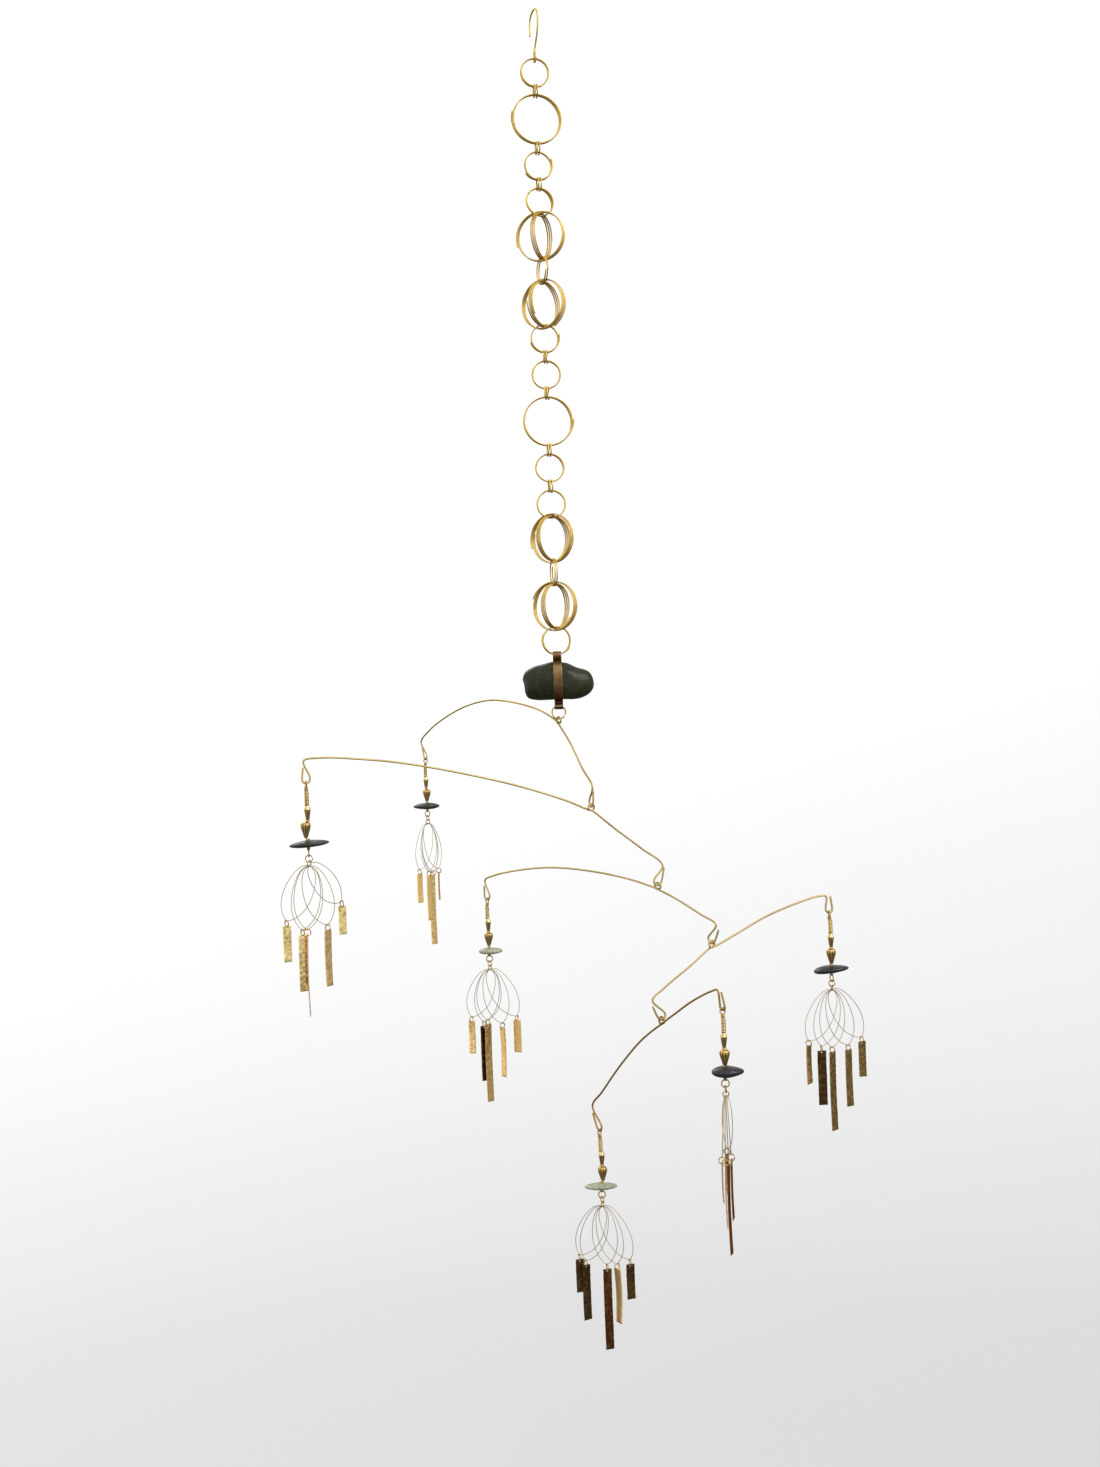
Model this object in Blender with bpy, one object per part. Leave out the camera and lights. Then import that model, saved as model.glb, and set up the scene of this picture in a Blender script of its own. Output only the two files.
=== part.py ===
"""Hanging mobile: a brass ring chain, a strapped pebble, five wire arms and six beaded pendants.

Metres, +Z up. The origin is the inner top of the hanging hook's crook, the point that bears on a bar.
+X runs to the right across the mobile's front and +Y runs away from the front.
Each arm lies in its own upright plane; a yaw or heading is an angle about +Z, counted from +X.
"""

import math

import bmesh
import bpy
from mathutils import Vector

MM = 0.001
GAP = 0.3 * MM  # room kept between pieces that bear on each other
SEAT = 0.6 * MM  # the same between an arm's loop and the hook it hangs on, whose bends cross

# Hanging hook: one round wire with an open crook above and a closed teardrop eye below.
HOOK_WIRE = 1.5 * MM
CROOK_INNER = 7.2 * MM  # fits over a 14 mm bar
HOOK_HEADING = 109.0
HOOK_TIP_DROP = 8.8 * MM
EYE_RADIUS = 3.2 * MM
EYE_DROP = 34.7 * MM  # from the origin down to the centre of the eye's round end
EYE_RISE = 0.5 * MM  # climb of the eye's round end out to the edges of the band ring it holds

# Chain rings: two turns of wire side by side, so each ring is a narrow band.
BAND_THICK = 1.1 * MM
BAND_WIDE = 2.4 * MM
RING_SIZES = {"large": 37.0 * MM, "small": 21.6 * MM, "joiner": 21.0 * MM, "jump": 10.2 * MM}
RING_SIDES = {"large": 12, "small": 10, "joiner": 10, "jump": 8}
# From the top: the ring's kind and the yaw of its plane. A cage is two crossed large rings,
# one just inside the other, so it has the outer ring's yaw and the inner ring's.
CHAIN = (
    ("small", 12.0),
    ("jump", 98.0),
    ("large", 15.0),
    ("jump", 100.0),
    ("small", 12.0),
    ("jump", 102.0),
    ("small", 23.0),
    ("cage", -18.0, 66.0),
    ("joiner", -71.0),
    ("cage", -36.0, 53.0),
    ("small", 8.0),
    ("jump", 84.0),
    ("small", 8.0),
    ("jump", 82.0),
    ("large", 6.0),
    ("jump", 96.0),
    ("small", 10.0),
    ("jump", 98.0),
    ("small", 6.0),
    ("cage", -36.0, 48.0),
    ("joiner", 100.0),
    ("cage", -31.0, 55.0),
    ("small", 8.0),
)

# Strapped pebble. Its upper and lower profiles are heights above and below its middle, from end to end.
PEBBLE_ENDS = (-26.3 * MM, 26.6 * MM)
PEBBLE_HALF_DEPTH = 12.0 * MM
PEBBLE_TOP = ((-26.3, 2.0), (-24.3, 7.4), (-18.0, 11.1), (-11.0, 12.7), (-4.0, 14.2),
              (6.0, 13.4), (13.7, 9.9), (22.5, 6.5), (25.6, 2.2), (26.6, -2.5))
PEBBLE_BOTTOM = ((-26.3, 2.0), (-25.2, -2.5), (-24.6, -7.5), (-22.5, -11.8), (-17.0, -13.5),
                 (0.0, -13.7), (16.0, -13.5), (23.0, -10.0), (25.9, -6.0), (26.6, -2.5))
PEBBLE_STATIONS = 11
PEBBLE_SIDES = 10
PEBBLE_ROUND = 2.3  # squareness of the pebble's cross-section and plan
STRAP_WIDE = 6.35 * MM
STRAP_THICK = 0.6 * MM
UPPER_NECK = 2.4 * MM  # pinched lengths between the pebble and the rolled ends
LOWER_NECK = 3.7 * MM
UPPER_ROLL = 2.4 * MM  # inner radii of the strap's rolled ends
LOWER_ROLL = 1.7 * MM
STRAP_RING = 11.0 * MM
STRAP_RING_WIRE = 1.1 * MM
RING_RISE = {"chain": 0.9 * MM, "strap": 1.4 * MM}  # fall of a round ring from its top to the strap's edges

# Arms. The bearing point is the inner top of the loop that an arm hangs by.
ARM_WIRE = 1.4 * MM
LOOP_RADIUS = 2.3 * MM
LOOP_ASIDE = 0.9 * MM  # half the sideways step that keeps the loop's crossing wires apart
HOOK_BEND = 2.7 * MM
HOOK_BELOW = 0.5 * ARM_WIRE
# For each end: reach and height of the hook's bearing point, then the bends of the wire between loop
# and hook, and last the hook's corner and its free tip, both counted from the bearing point.
ARMS = {
    "arm_1": {
        "heading": 117.0,
        "long": {"reach": 258.8, "height": -29.6, "tip": (5.8, 10.2), "corner": (8.4, 14.8),
                 "bends": ((24.0, 4.8), (65.0, 12.6), (118.0, 17.2), (165.0, 14.2), (210.0, 6.0),
                           (248.3, -5.0))},
        "short": {"reach": 45.7, "height": -64.2, "tip": (3.6, 10.7), "corner": (2.6, 13.5),
                  "bends": ((16.0, -18.0), (34.8, -38.0))},
    },
    "arm_2": {
        "heading": -161.4,
        "long": {"reach": 204.0, "height": 25.7, "tip": (1.8, 9.8), "corner": (1.2, 14.4),
                 "bends": ((21.2, 5.0), (64.0, 19.0), (132.0, 34.9), (168.0, 39.9), (194.0, 41.7))},
        "short": {"reach": 48.8, "height": -60.0, "tip": (5.5, 11.9), "corner": (4.4, 13.4),
                  "bends": ((17.2, -17.7), (36.8, -32.9))},
    },
    "arm_3": {
        "heading": 137.7,
        "long": {"reach": 174.2, "height": -18.1, "tip": (3.0, 10.0), "corner": (1.8, 14.6),
                 "bends": ((22.0, 1.4), (55.8, 6.4), (102.0, 8.8), (138.0, 5.8), (165.0, 0.9))},
        "short": {"reach": 46.6, "height": -40.0, "tip": (6.4, 9.0), "corner": (4.4, 12.6),
                  "bends": ((15.0, -9.9), (37.8, -20.6))},
    },
    "arm_4": {
        "heading": 19.6,
        "long": {"reach": 94.4, "height": 14.2, "tip": (1.4, 11.2), "corner": (-2.0, 11.2),
                 "bends": ((19.2, 3.8), (43.0, 14.4), (70.0, 22.6), (86.0, 26.0))},
        "short": {"reach": 40.5, "height": -50.6, "tip": (6.4, 9.2), "corner": (6.4, 13.4),
                  "bends": ((17.8, -16.1), (38.0, -29.6))},
    },
    "arm_5": {
        "heading": -56.5,
        "long": {"reach": 67.2, "height": 14.3, "tip": (-0.6, 10.9), "corner": (-4.6, 11.9),
                 "bends": ((12.8, 3.3), (34.0, 15.2), (56.0, 24.8))},
        "short": {"reach": 81.2, "height": -93.0, "tip": (7.6, 11.0), "corner": (8.0, 16.2),
                  "bends": ((23.2, -17.9), (50.0, -39.4), (76.5, -64.5))},
    },
}
# Which hook holds what: the arm or pendant, the arm that holds it and the end it hangs from.
HELD_ARMS = (("arm_2", "arm_1", "short"), ("arm_3", "arm_2", "short"), ("arm_4", "arm_3", "short"),
             ("arm_5", "arm_4", "short"))
FIRST_ARM_OFFSET = -0.6 * MM

# Pendant stems: half-widths down a turned profile, from the bearing point of the wire eye above.
EYE_WIRE = 0.9 * MM
STEM_EYE = 1.7 * MM  # centre-line half-width
STEM_EYE_STRETCH = 1.25
PIN_BELOW_STONE = 1.2 * MM
STEM_PIN = 0.55 * MM
STEM_PROFILE = (
    ("coil", (3.6, 0.8), (5.4, 1.5), (16.4, 1.5)),
    ("cone", (19.8, 2.1), (25.9, 1.2)),
    ("drop", (27.7, 2.8), (29.7, 3.5), (38.0, 1.1)),
)
STEM_SIDES = 6
STONE_CENTRE = 41.9 * MM
LOWER_LOOP = 2.55 * MM
LINK_RADIUS = 2.35 * MM
GATHER_RADIUS = 1.95 * MM
FINE_RING_WIRE = 0.8 * MM

# Fringe: five wire hoops on the gather ring, each drawn to a point where its jump ring and strip hang.
HOOP_WIRE = 0.5 * MM
HOOP_WIDE = 21.4 * MM
HOOP_STEP = 0.62 * MM  # spacing of the hoops along the gather ring
HOOP_LEAN = 1.5 * MM  # how much further apart each hoop stands at its foot
HOOP_SHAPE = ((0.0, 0.36), (0.30, 0.94), (0.68, 0.84))  # share of the reach, and half-width there
STRIP_WIDE = 6.35 * MM
STRIP_THICK = 0.8 * MM
JUMP_RING = 4.7 * MM  # height of the jump ring between hoop and strip, a slim neck here

# Each pendant: the arm's end that holds it, the yaw of its eye and of its fringe, how far its last hoop is
# turned out of the others' plane, its stone's length, breadth, thickness (mm), tilt and how far its middle
# lies to the right of the drilled hole (mm), and for each of its five hoops the swing and reach (mm) of its
# foot and the yaw and length (mm) of the strip there.
PENDANTS = {
    "a": {"arm": "arm_2", "end": "long", "eye": 108.0, "fan": 12.0, "last_turn": 41.0,
          "stone": (27.0, 20.0, 5.6, 3.0, 0.5),
          "fringe": ((-24.8, 39.8, 40.0, 22.9), (-8.3, 43.2, 38.0, 36.6), (-3.8, 42.9, 98.0, 53.8),
                     (15.1, 42.3, 53.0, 36.7), (47.4, 41.0, 42.0, 18.4))},
    "b": {"arm": "arm_1", "end": "long", "eye": 27.0, "fan": 49.0, "last_turn": 0.0,
          "stone": (23.2, 17.0, 6.6, 0.0, -0.6),
          "fringe": ((-22.6, 43.0, 48.0, 24.0), (-4.2, 42.4, 50.0, 37.9), (3.6, 43.8, 42.0, 58.2),
                     (8.2, 43.2, 78.0, 43.0), (20.4, 44.2, 84.0, 23.2))},
    "c": {"arm": "arm_3", "end": "long", "eye": 45.0, "fan": 4.0, "last_turn": 0.0,
          "stone": (18.8, 15.0, 5.3, 0.0, 1.2),
          "fringe": ((-23.8, 40.1, -36.0, 24.3), (-8.8, 41.6, 30.0, 42.4), (-4.6, 39.9, 40.0, 60.1),
                     (10.7, 44.4, -50.0, 38.1), (27.3, 44.0, -25.0, 24.4))},
    "d": {"arm": "arm_4", "end": "long", "eye": 97.0, "fan": 12.0, "last_turn": 0.0,
          "stone": (25.2, 17.0, 6.0, 3.0, 0.0),
          "fringe": ((-31.0, 40.9, 50.0, 26.1), (-15.0, 41.0, 4.0, 37.8), (-2.2, 41.5, 39.0, 55.4),
                     (15.7, 43.0, 36.0, 39.7), (32.1, 43.6, 26.0, 24.3))},
    "e": {"arm": "arm_5", "end": "long", "eye": 4.0, "fan": -95.0, "last_turn": 20.0,
          "stone": (21.6, 17.0, 8.4, 0.0, 1.9),
          "fringe": ((30.0, 41.0, 88.0, 24.5), (12.0, 41.0, 86.0, 40.0), (5.0, 41.5, 70.0, 57.5),
                     (-8.0, 40.5, 75.0, 38.5), (-20.0, 41.0, 68.0, 25.0))},
    "f": {"arm": "arm_5", "end": "short", "eye": 42.0, "fan": -20.0, "last_turn": 0.0,
          "stone": (24.4, 13.0, 5.2, 0.0, -0.5),
          "fringe": ((-26.2, 40.4, 20.0, 23.0), (-18.8, 42.7, 25.0, 39.3), (2.6, 43.0, 14.0, 57.8),
                     (11.8, 43.8, -48.0, 38.7), (24.9, 44.0, 18.0, 24.3))},
}
STONE_SIDES = 8

COLOURS = {
    "brass": ((0.62, 0.42, 0.13), 0.32, 1.0),
    "dark_brass": ((0.30, 0.20, 0.07), 0.42, 1.0),
    "copper_brown": ((0.34, 0.19, 0.09), 0.38, 1.0),
    "dark_stone": ((0.030, 0.034, 0.030), 0.45, 0.0),
    "green_stone": ((0.25, 0.28, 0.20), 0.6, 0.0),
}
STONE_COLOURS = {"a": "dark_stone", "b": "dark_stone", "c": "green_stone",
                 "d": "dark_stone", "e": "dark_stone", "f": "green_stone"}


def clear_scene():
    for obj in list(bpy.data.objects):
        bpy.data.objects.remove(obj)


def material(name):
    """The Principled material of that name, made once."""
    found = bpy.data.materials.get(name)
    if found:
        return found
    colour, roughness, metallic = COLOURS[name]
    mat = bpy.data.materials.new(name)
    mat.use_nodes = True
    shader = mat.node_tree.nodes["Principled BSDF"]
    shader.inputs["Base Color"].default_value = (*colour, 1.0)
    shader.inputs["Roughness"].default_value = roughness
    shader.inputs["Metallic"].default_value = metallic
    return mat


def direction(yaw):
    """The level unit vector at that yaw."""
    return Vector((math.cos(math.radians(yaw)), math.sin(math.radians(yaw)), 0.0))


def side_of(yaw):
    """The level unit vector square to that yaw, the normal of an upright plane."""
    return direction(yaw + 90.0)


def add_tube(bm, path, radius, sides, closed=False, across=None):
    """Sweeps a round wire along the path. across is the normal of a flat path's plane."""
    count = len(path)
    rings = []
    carried = None
    for i, point in enumerate(path):
        before = path[i - 1] if (i or closed) else point
        after = path[(i + 1) % count] if (i + 1 < count or closed) else point
        along = (after - before).normalized()
        if across is not None:
            carried = across
        elif carried is None:
            carried = along.orthogonal()
        first = (carried - along * carried.dot(along)).normalized()
        carried = first
        second = along.cross(first)
        ring = []
        for k in range(sides):
            turn = math.tau * (k + 0.5) / sides
            ring.append(bm.verts.new(point + radius * (math.cos(turn) * first + math.sin(turn) * second)))
        rings.append(ring)
    for i in range(count if closed else count - 1):
        a, b = rings[i], rings[(i + 1) % count]
        for k in range(sides):
            n = (k + 1) % sides
            bm.faces.new((a[k], a[n], b[n], b[k]))
    if not closed:
        bm.faces.new(rings[0][::-1])
        bm.faces.new(rings[-1])


def ring_path(centre, radius, yaw, points, stretch=1.0):
    """Points round an upright ring, with a flat at its top and bottom. stretch lengthens it upward."""
    reach = radius / math.cos(math.pi / points)
    out = direction(yaw)
    path = []
    for k in range(points):
        turn = math.tau * (k + 0.5) / points
        path.append(centre + reach * (math.sin(turn) * out + Vector((0.0, 0.0, stretch * math.cos(turn)))))
    return path


def new_object(name, bm, colour, smooth_angle=40.0):
    """Turns the mesh's faces outward and adds it to the scene as that named sub-part."""
    bmesh.ops.recalc_face_normals(bm, faces=bm.faces)
    mesh = bpy.data.meshes.new(name)
    bm.to_mesh(mesh)
    bm.free()
    mesh.shade_smooth()
    mesh.set_sharp_from_angle(angle=math.radians(smooth_angle))
    mesh.materials.append(material(colour))
    obj = bpy.data.objects.new(name, mesh)
    bpy.context.scene.collection.objects.link(obj)
    return obj


def fuse(obj, bm, name):
    """Joins further shapes to the object with a Boolean union."""
    tool = new_object(name, bm, obj.data.materials[0].name)
    tool.hide_render = True
    tool.display_type = "WIRE"
    union = obj.modifiers.new("fuse_" + name, "BOOLEAN")
    union.operation = "UNION"
    union.solver = "EXACT"
    union.object = tool


def make_hook():
    """Hanging hook. Returns the height of the eye's bearing surface."""
    out = direction(HOOK_HEADING)
    centre_line = CROOK_INNER + 0.5 * HOOK_WIRE
    flat = [(centre_line, -CROOK_INNER - HOOK_TIP_DROP), (centre_line, -CROOK_INNER - 0.4 * HOOK_TIP_DROP)]
    for k in range(7):
        turn = math.pi * k / 6
        flat.append((centre_line * math.cos(turn), -CROOK_INNER + centre_line * math.sin(turn)))
    flat += [(-7.2 * MM, -14.5 * MM), (-4.2 * MM, -20.5 * MM)]
    flat += [(-0.6 * MM, -25.5 * MM), (2.2 * MM, -30.0 * MM)]
    for k in range(6):
        turn = math.radians(6.0 - 38.0 * k)
        flat.append((EYE_RADIUS * math.cos(turn), -EYE_DROP + EYE_RADIUS * math.sin(turn)))
    flat.append((-1.5 * MM, -28.2 * MM))
    path = [u * out + Vector((0.0, 0.0, z)) for u, z in flat]
    bm = bmesh.new()
    add_tube(bm, path, 0.5 * HOOK_WIRE / math.cos(math.pi / 5), 5, across=side_of(HOOK_HEADING))
    new_object("hanging_hook", bm, "brass")
    return -EYE_DROP - EYE_RADIUS + 0.5 * HOOK_WIRE + EYE_RISE


def make_band_ring(name, size, sides, yaw, top):
    """One double-wound chain ring whose outer top is at that height. Returns its lower bearing height."""
    outer = 0.5 * size
    centre = Vector((0.0, 0.0, top - outer))
    across = 0.5 * BAND_WIDE * side_of(yaw)
    bm = bmesh.new()
    loops = []
    for radius, aside in ((outer, -across), (outer, across), (outer - BAND_THICK, across),
                          (outer - BAND_THICK, -across)):
        loops.append([bm.verts.new(p + aside) for p in ring_path(centre, radius, yaw, sides)])
    for i in range(4):
        a, b = loops[i], loops[(i + 1) % 4]
        for k in range(sides):
            n = (k + 1) % sides
            bm.faces.new((a[k], a[n], b[n], b[k]))
    new_object(name, bm, "brass")
    return top - size + BAND_THICK


def make_chain(bearing):
    """All the chain's rings, each hung on the one above. Returns the last ring's bearing height."""
    made = {}
    for kind, yaw, *inner_yaw in CHAIN:
        made[kind] = made.get(kind, 0) + 1
        name = f"chain_{kind}_{made[kind]}"
        if kind == "cage":
            outer, sides = RING_SIZES["large"], RING_SIDES["large"]
            inner = outer - 2 * (BAND_THICK + GAP)
            top = bearing + GAP + BAND_THICK
            bearing = make_band_ring(name + "_inner", inner, sides, inner_yaw[0], top)
            make_band_ring(name + "_outer", outer, sides, yaw, top + GAP + BAND_THICK)
        else:
            top = bearing + GAP + BAND_THICK
            bearing = make_band_ring(name, RING_SIZES[kind], RING_SIDES[kind], yaw, top)
    return bearing


def level_at(profile, x):
    """Height of a profile of (x, z) points in millimetres, read at x metres."""
    x = x / MM
    for (x0, z0), (x1, z1) in zip(profile, profile[1:]):
        if x <= x1:
            return MM * (z0 + (z1 - z0) * max(0.0, x - x0) / (x1 - x0))
    return MM * profile[-1][1]


def pebble_section(x, grow=0.0):
    """Points (y, z) round the pebble's upright cross-section at x, counted from its middle."""
    low, high = PEBBLE_ENDS
    across = 2 * (x - low) / (high - low) - 1
    depth = PEBBLE_HALF_DEPTH * (1 - abs(across) ** PEBBLE_ROUND) ** (1 / PEBBLE_ROUND) + grow
    top, bottom = level_at(PEBBLE_TOP, x), level_at(PEBBLE_BOTTOM, x)
    middle, half = 0.5 * (top + bottom), 0.5 * (top - bottom) + grow
    points = []
    for k in range(PEBBLE_SIDES):
        turn = math.tau * k / PEBBLE_SIDES
        s, c = math.sin(turn), math.cos(turn)
        size = (abs(s) ** PEBBLE_ROUND + abs(c) ** PEBBLE_ROUND) ** (-1 / PEBBLE_ROUND)
        points.append((depth * s * size, middle + half * c * size))
    return points


def make_pebble(middle):
    """The dark pebble: cross-sections from end to end, closer together near the ends."""
    low, high = PEBBLE_ENDS
    bm = bmesh.new()
    rings = []
    for i in range(1, PEBBLE_STATIONS):
        x = 0.5 * (low + high) - 0.5 * (high - low) * math.cos(math.pi * i / PEBBLE_STATIONS)
        rings.append([bm.verts.new((x, y, middle + z)) for y, z in pebble_section(x)])
    for a, b in zip(rings, rings[1:]):
        for k in range(PEBBLE_SIDES):
            n = (k + 1) % PEBBLE_SIDES
            bm.faces.new((a[k], a[n], b[n], b[k]))
    for ring, x, profile in ((rings[0], low, PEBBLE_TOP[0]), (rings[-1], high, PEBBLE_TOP[-1])):
        tip = bm.verts.new((x, 0.0, middle + profile[1] * MM))
        for k in range(PEBBLE_SIDES):
            bm.faces.new((ring[k], ring[(k + 1) % PEBBLE_SIDES], tip))
    new_object("pebble", bm, "dark_stone", 60.0)


def roll_arc(centre, radius, first, last, points):
    """Points (y, z) along an arc, with its angles in degrees from +Y towards +Z."""
    arc = []
    for k in range(points):
        turn = math.radians(first + (last - first) * k / (points - 1))
        arc.append((radius * math.cos(turn), centre + radius * math.sin(turn)))
    return arc


def make_strap(upper, middle, lower):
    """A strip folded round the pebble, pinched above and below it and rolled over at both ends."""
    half = 0.5 * STRAP_THICK
    neck = half + 0.5 * GAP
    wrap = pebble_section(0.0, 1.5 * GAP + half)[1:PEBBLE_SIDES // 2]
    side = roll_arc(upper, UPPER_ROLL + half, 90.0, -45.0, 4)
    side.append((neck, upper - UPPER_ROLL - 1.2 * MM))
    side += [(y, middle + z) for y, z in wrap]
    side.append((neck, lower + LOWER_ROLL + 1.2 * MM))
    side += roll_arc(lower, LOWER_ROLL + half, 45.0, -90.0, 4)
    centre_line = side + [(-y, z) for y, z in reversed(side[1:-1])]
    bm = bmesh.new()
    rings = []
    for i, (y, z) in enumerate(centre_line):
        before, after = centre_line[i - 1], centre_line[(i + 1) % len(centre_line)]
        run = Vector((after[0] - before[0], after[1] - before[1])).normalized()
        offset = Vector((-run.y, run.x)) * half
        ring = []
        for sign, x in ((1, -0.5), (1, 0.5), (-1, 0.5), (-1, -0.5)):
            ring.append(bm.verts.new((x * STRAP_WIDE, y + sign * offset.x, z + sign * offset.y)))
        rings.append(ring)
    for a, b in zip(rings, rings[1:] + rings[:1]):
        for k in range(4):
            bm.faces.new((a[k], a[(k + 1) % 4], b[(k + 1) % 4], b[k]))
    new_object("pebble_strap", bm, "copper_brown")


def make_strapped_pebble(bearing):
    """Pebble, strap and the ring below it. Returns the ring's bearing height."""
    upper = bearing + RING_RISE["chain"] + GAP - UPPER_ROLL
    crown = upper - UPPER_ROLL - UPPER_NECK
    middle = crown - level_at(PEBBLE_TOP, 0.0)
    foot = middle + level_at(PEBBLE_BOTTOM, 0.0)
    lower = foot - LOWER_NECK - LOWER_ROLL
    make_pebble(middle)
    make_strap(upper, middle, lower)
    ring_radius = 0.5 * (STRAP_RING - STRAP_RING_WIRE)
    top = lower - LOWER_ROLL + GAP + STRAP_RING_WIRE + RING_RISE["strap"]
    centre = Vector((0.5 * FIRST_ARM_OFFSET, 0.0, top - 0.5 * STRAP_RING))
    bm = bmesh.new()
    add_tube(bm, ring_path(centre, ring_radius, -4.0, 12), 0.5 * STRAP_RING_WIRE, 4, True, side_of(-4.0))
    new_object("strap_ring", bm, "brass")
    return centre.z - ring_radius + 0.5 * STRAP_RING_WIRE


def hook_flat(end):
    """Points (out, up) of one end of an arm in millimetres, from the loop out to the free tip."""
    reach, height = end["reach"], end["height"]
    bend, below = HOOK_BEND / MM, HOOK_BELOW / MM
    hook = [end["corner"], (-bend, 3.6)]
    for turn in (215.0, 270.0, 325.0):
        angle = math.radians(turn)
        hook.append((bend * math.cos(angle), bend - below + bend * math.sin(angle)))
    hook.append(end["tip"])
    return list(end["bends"]) + [(reach + out, height + up) for out, up in hook]


def make_arm(name, spec, bearing):
    """One wire arm: hook, long reach, loop, short reach and hook. Returns its hooks' bearing points."""
    out = direction(spec["heading"])
    aside = side_of(spec["heading"])

    def place(flat, sign, sideways=0.0):
        return bearing + MM * (sign * flat[0] * out + Vector((0.0, 0.0, flat[1]))) + sideways * aside

    centre = -(LOOP_RADIUS - 0.5 * ARM_WIRE)
    loop = []
    for k in range(9):
        turn = math.tau * k / 8
        across, up = -LOOP_RADIUS * math.sin(turn), centre - LOOP_RADIUS * math.cos(turn)
        sideways = LOOP_ASIDE * (k - 4) / 4
        loop.append(bearing + across * out + Vector((0.0, 0.0, up)) + sideways * aside)
    long_side = [place(p, 1) for p in hook_flat(spec["long"])]
    short_side = [place(p, -1) for p in hook_flat(spec["short"])]
    bm = bmesh.new()
    add_tube(bm, long_side[::-1] + loop + short_side, 0.5 * ARM_WIRE, 4, across=aside)
    new_object(name, bm, "brass")
    hooks = {}
    for key, sign in (("long", 1), ("short", -1)):
        hooks[key] = place((spec[key]["reach"], spec[key]["height"]), sign)
    return hooks


def add_lathe(bm, top, profile, sides):
    """Turns a profile of (distance below top, radius) about the upright line through top."""
    rings = []
    for below, radius in profile:
        centre = top - Vector((0.0, 0.0, below))
        ring = []
        for k in range(sides):
            turn = math.tau * k / sides
            ring.append(bm.verts.new(centre + radius * Vector((math.cos(turn), math.sin(turn), 0.0))))
        rings.append(ring)
    for a, b in zip(rings, rings[1:]):
        for k in range(sides):
            n = (k + 1) % sides
            bm.faces.new((a[k], b[k], b[n], a[n]))
    bm.faces.new(rings[0])
    bm.faces.new(rings[-1][::-1])


def make_stem(name, top, spec):
    """Wire eye, wound coil, two-part cone, fluted drop, pin through the stone and the loop below it."""
    profile = []
    for _, *points in STEM_PROFILE:
        profile += [(below * MM, radius * MM) for below, radius in points]
    thick = spec["stone"][2] * MM
    profile.append((profile[-1][0], STEM_PIN))
    pin_end = STONE_CENTRE + 0.5 * thick + PIN_BELOW_STONE
    profile.append((pin_end, STEM_PIN))
    bm = bmesh.new()
    add_lathe(bm, top, profile, STEM_SIDES)
    stem = new_object(name + "_stem", bm, "dark_brass")
    wire = 0.5 * EYE_WIRE
    eye = top - Vector((0.0, 0.0, STEM_EYE * STEM_EYE_STRETCH - wire))
    loop = top - Vector((0.0, 0.0, pin_end + LOWER_LOOP - 0.2 * MM))
    tool = bmesh.new()
    yaw = spec["eye"]
    add_tube(tool, ring_path(eye, STEM_EYE, yaw, 8, STEM_EYE_STRETCH), wire, 3, True, side_of(yaw))
    across = spec["fan"] + 90.0
    add_tube(tool, ring_path(loop, LOWER_LOOP, across, 6), wire, 3, True, side_of(across))
    fuse(stem, tool, name + "_stem_eyes")
    return loop - Vector((0.0, 0.0, LOWER_LOOP - wire))


def make_stone(name, top, spec, colour):
    """A drilled flat pebble threaded on the stem's pin."""
    length, breadth, thick, tilt, aside = spec["stone"]
    bore = STEM_PIN + GAP
    slope = math.tan(math.radians(tilt))
    bm = bmesh.new()
    rings = []
    for share, rise in ((0.0, -0.42), (0.62, -0.39), (1.0, 0.0), (0.62, 0.39), (0.0, 0.42)):
        ring = []
        for k in range(STONE_SIDES):
            turn = math.tau * k / STONE_SIDES
            x = share * aside * MM + math.cos(turn) * (bore + share * (0.5 * length * MM - bore))
            y = math.sin(turn) * (bore + share * (0.5 * breadth * MM - bore))
            ring.append(bm.verts.new(top + Vector((x, y, rise * thick * MM - STONE_CENTRE + slope * x))))
        rings.append(ring)
    for a, b in zip(rings, rings[1:] + rings[:1]):
        for k in range(STONE_SIDES):
            n = (k + 1) % STONE_SIDES
            bm.faces.new((a[k], a[n], b[n], b[k]))
    new_object(name + "_stone", bm, colour, 60.0)


def make_link(name, bearing, yaw):
    """The plain ring between the stem's loop and the gather ring. Returns its bearing point."""
    wire = 0.5 * FINE_RING_WIRE
    centre = bearing - Vector((0.0, 0.0, LINK_RADIUS - wire - GAP))
    bm = bmesh.new()
    add_tube(bm, ring_path(centre, LINK_RADIUS, yaw, 6), wire, 3, True, side_of(yaw))
    new_object(name + "_link", bm, "brass")
    return centre - Vector((0.0, 0.0, LINK_RADIUS - wire))


def hoop_path(gather, fan, turned, swing, reach, order):
    """One hoop on the gather ring, from its foot round to its foot again. Its order is its place along the
    ring, from -2 to 2. Its plane is turned that far out of the fan's, and it swings sideways in that plane."""
    aside = side_of(fan)
    out = direction(fan + turned)
    lean = math.radians(swing)
    down = math.sin(lean) * out - Vector((0.0, 0.0, math.cos(lean)))
    sideways = math.cos(lean) * out + Vector((0.0, 0.0, math.sin(lean)))
    step = order * HOOP_STEP
    hang = gather + step * aside - Vector((0.0, 0.0, math.sqrt(GATHER_RADIUS ** 2 - step ** 2)))
    outline = [(fall, -wide) for fall, wide in reversed(HOOP_SHAPE)] + list(HOOP_SHAPE)
    path = []
    for fall, wide in [(1.0, 0.0)] + outline:
        point = hang + reach * fall * down + 0.5 * HOOP_WIDE * wide * sideways
        path.append(point + order * HOOP_LEAN * fall * aside)
    return path


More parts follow.
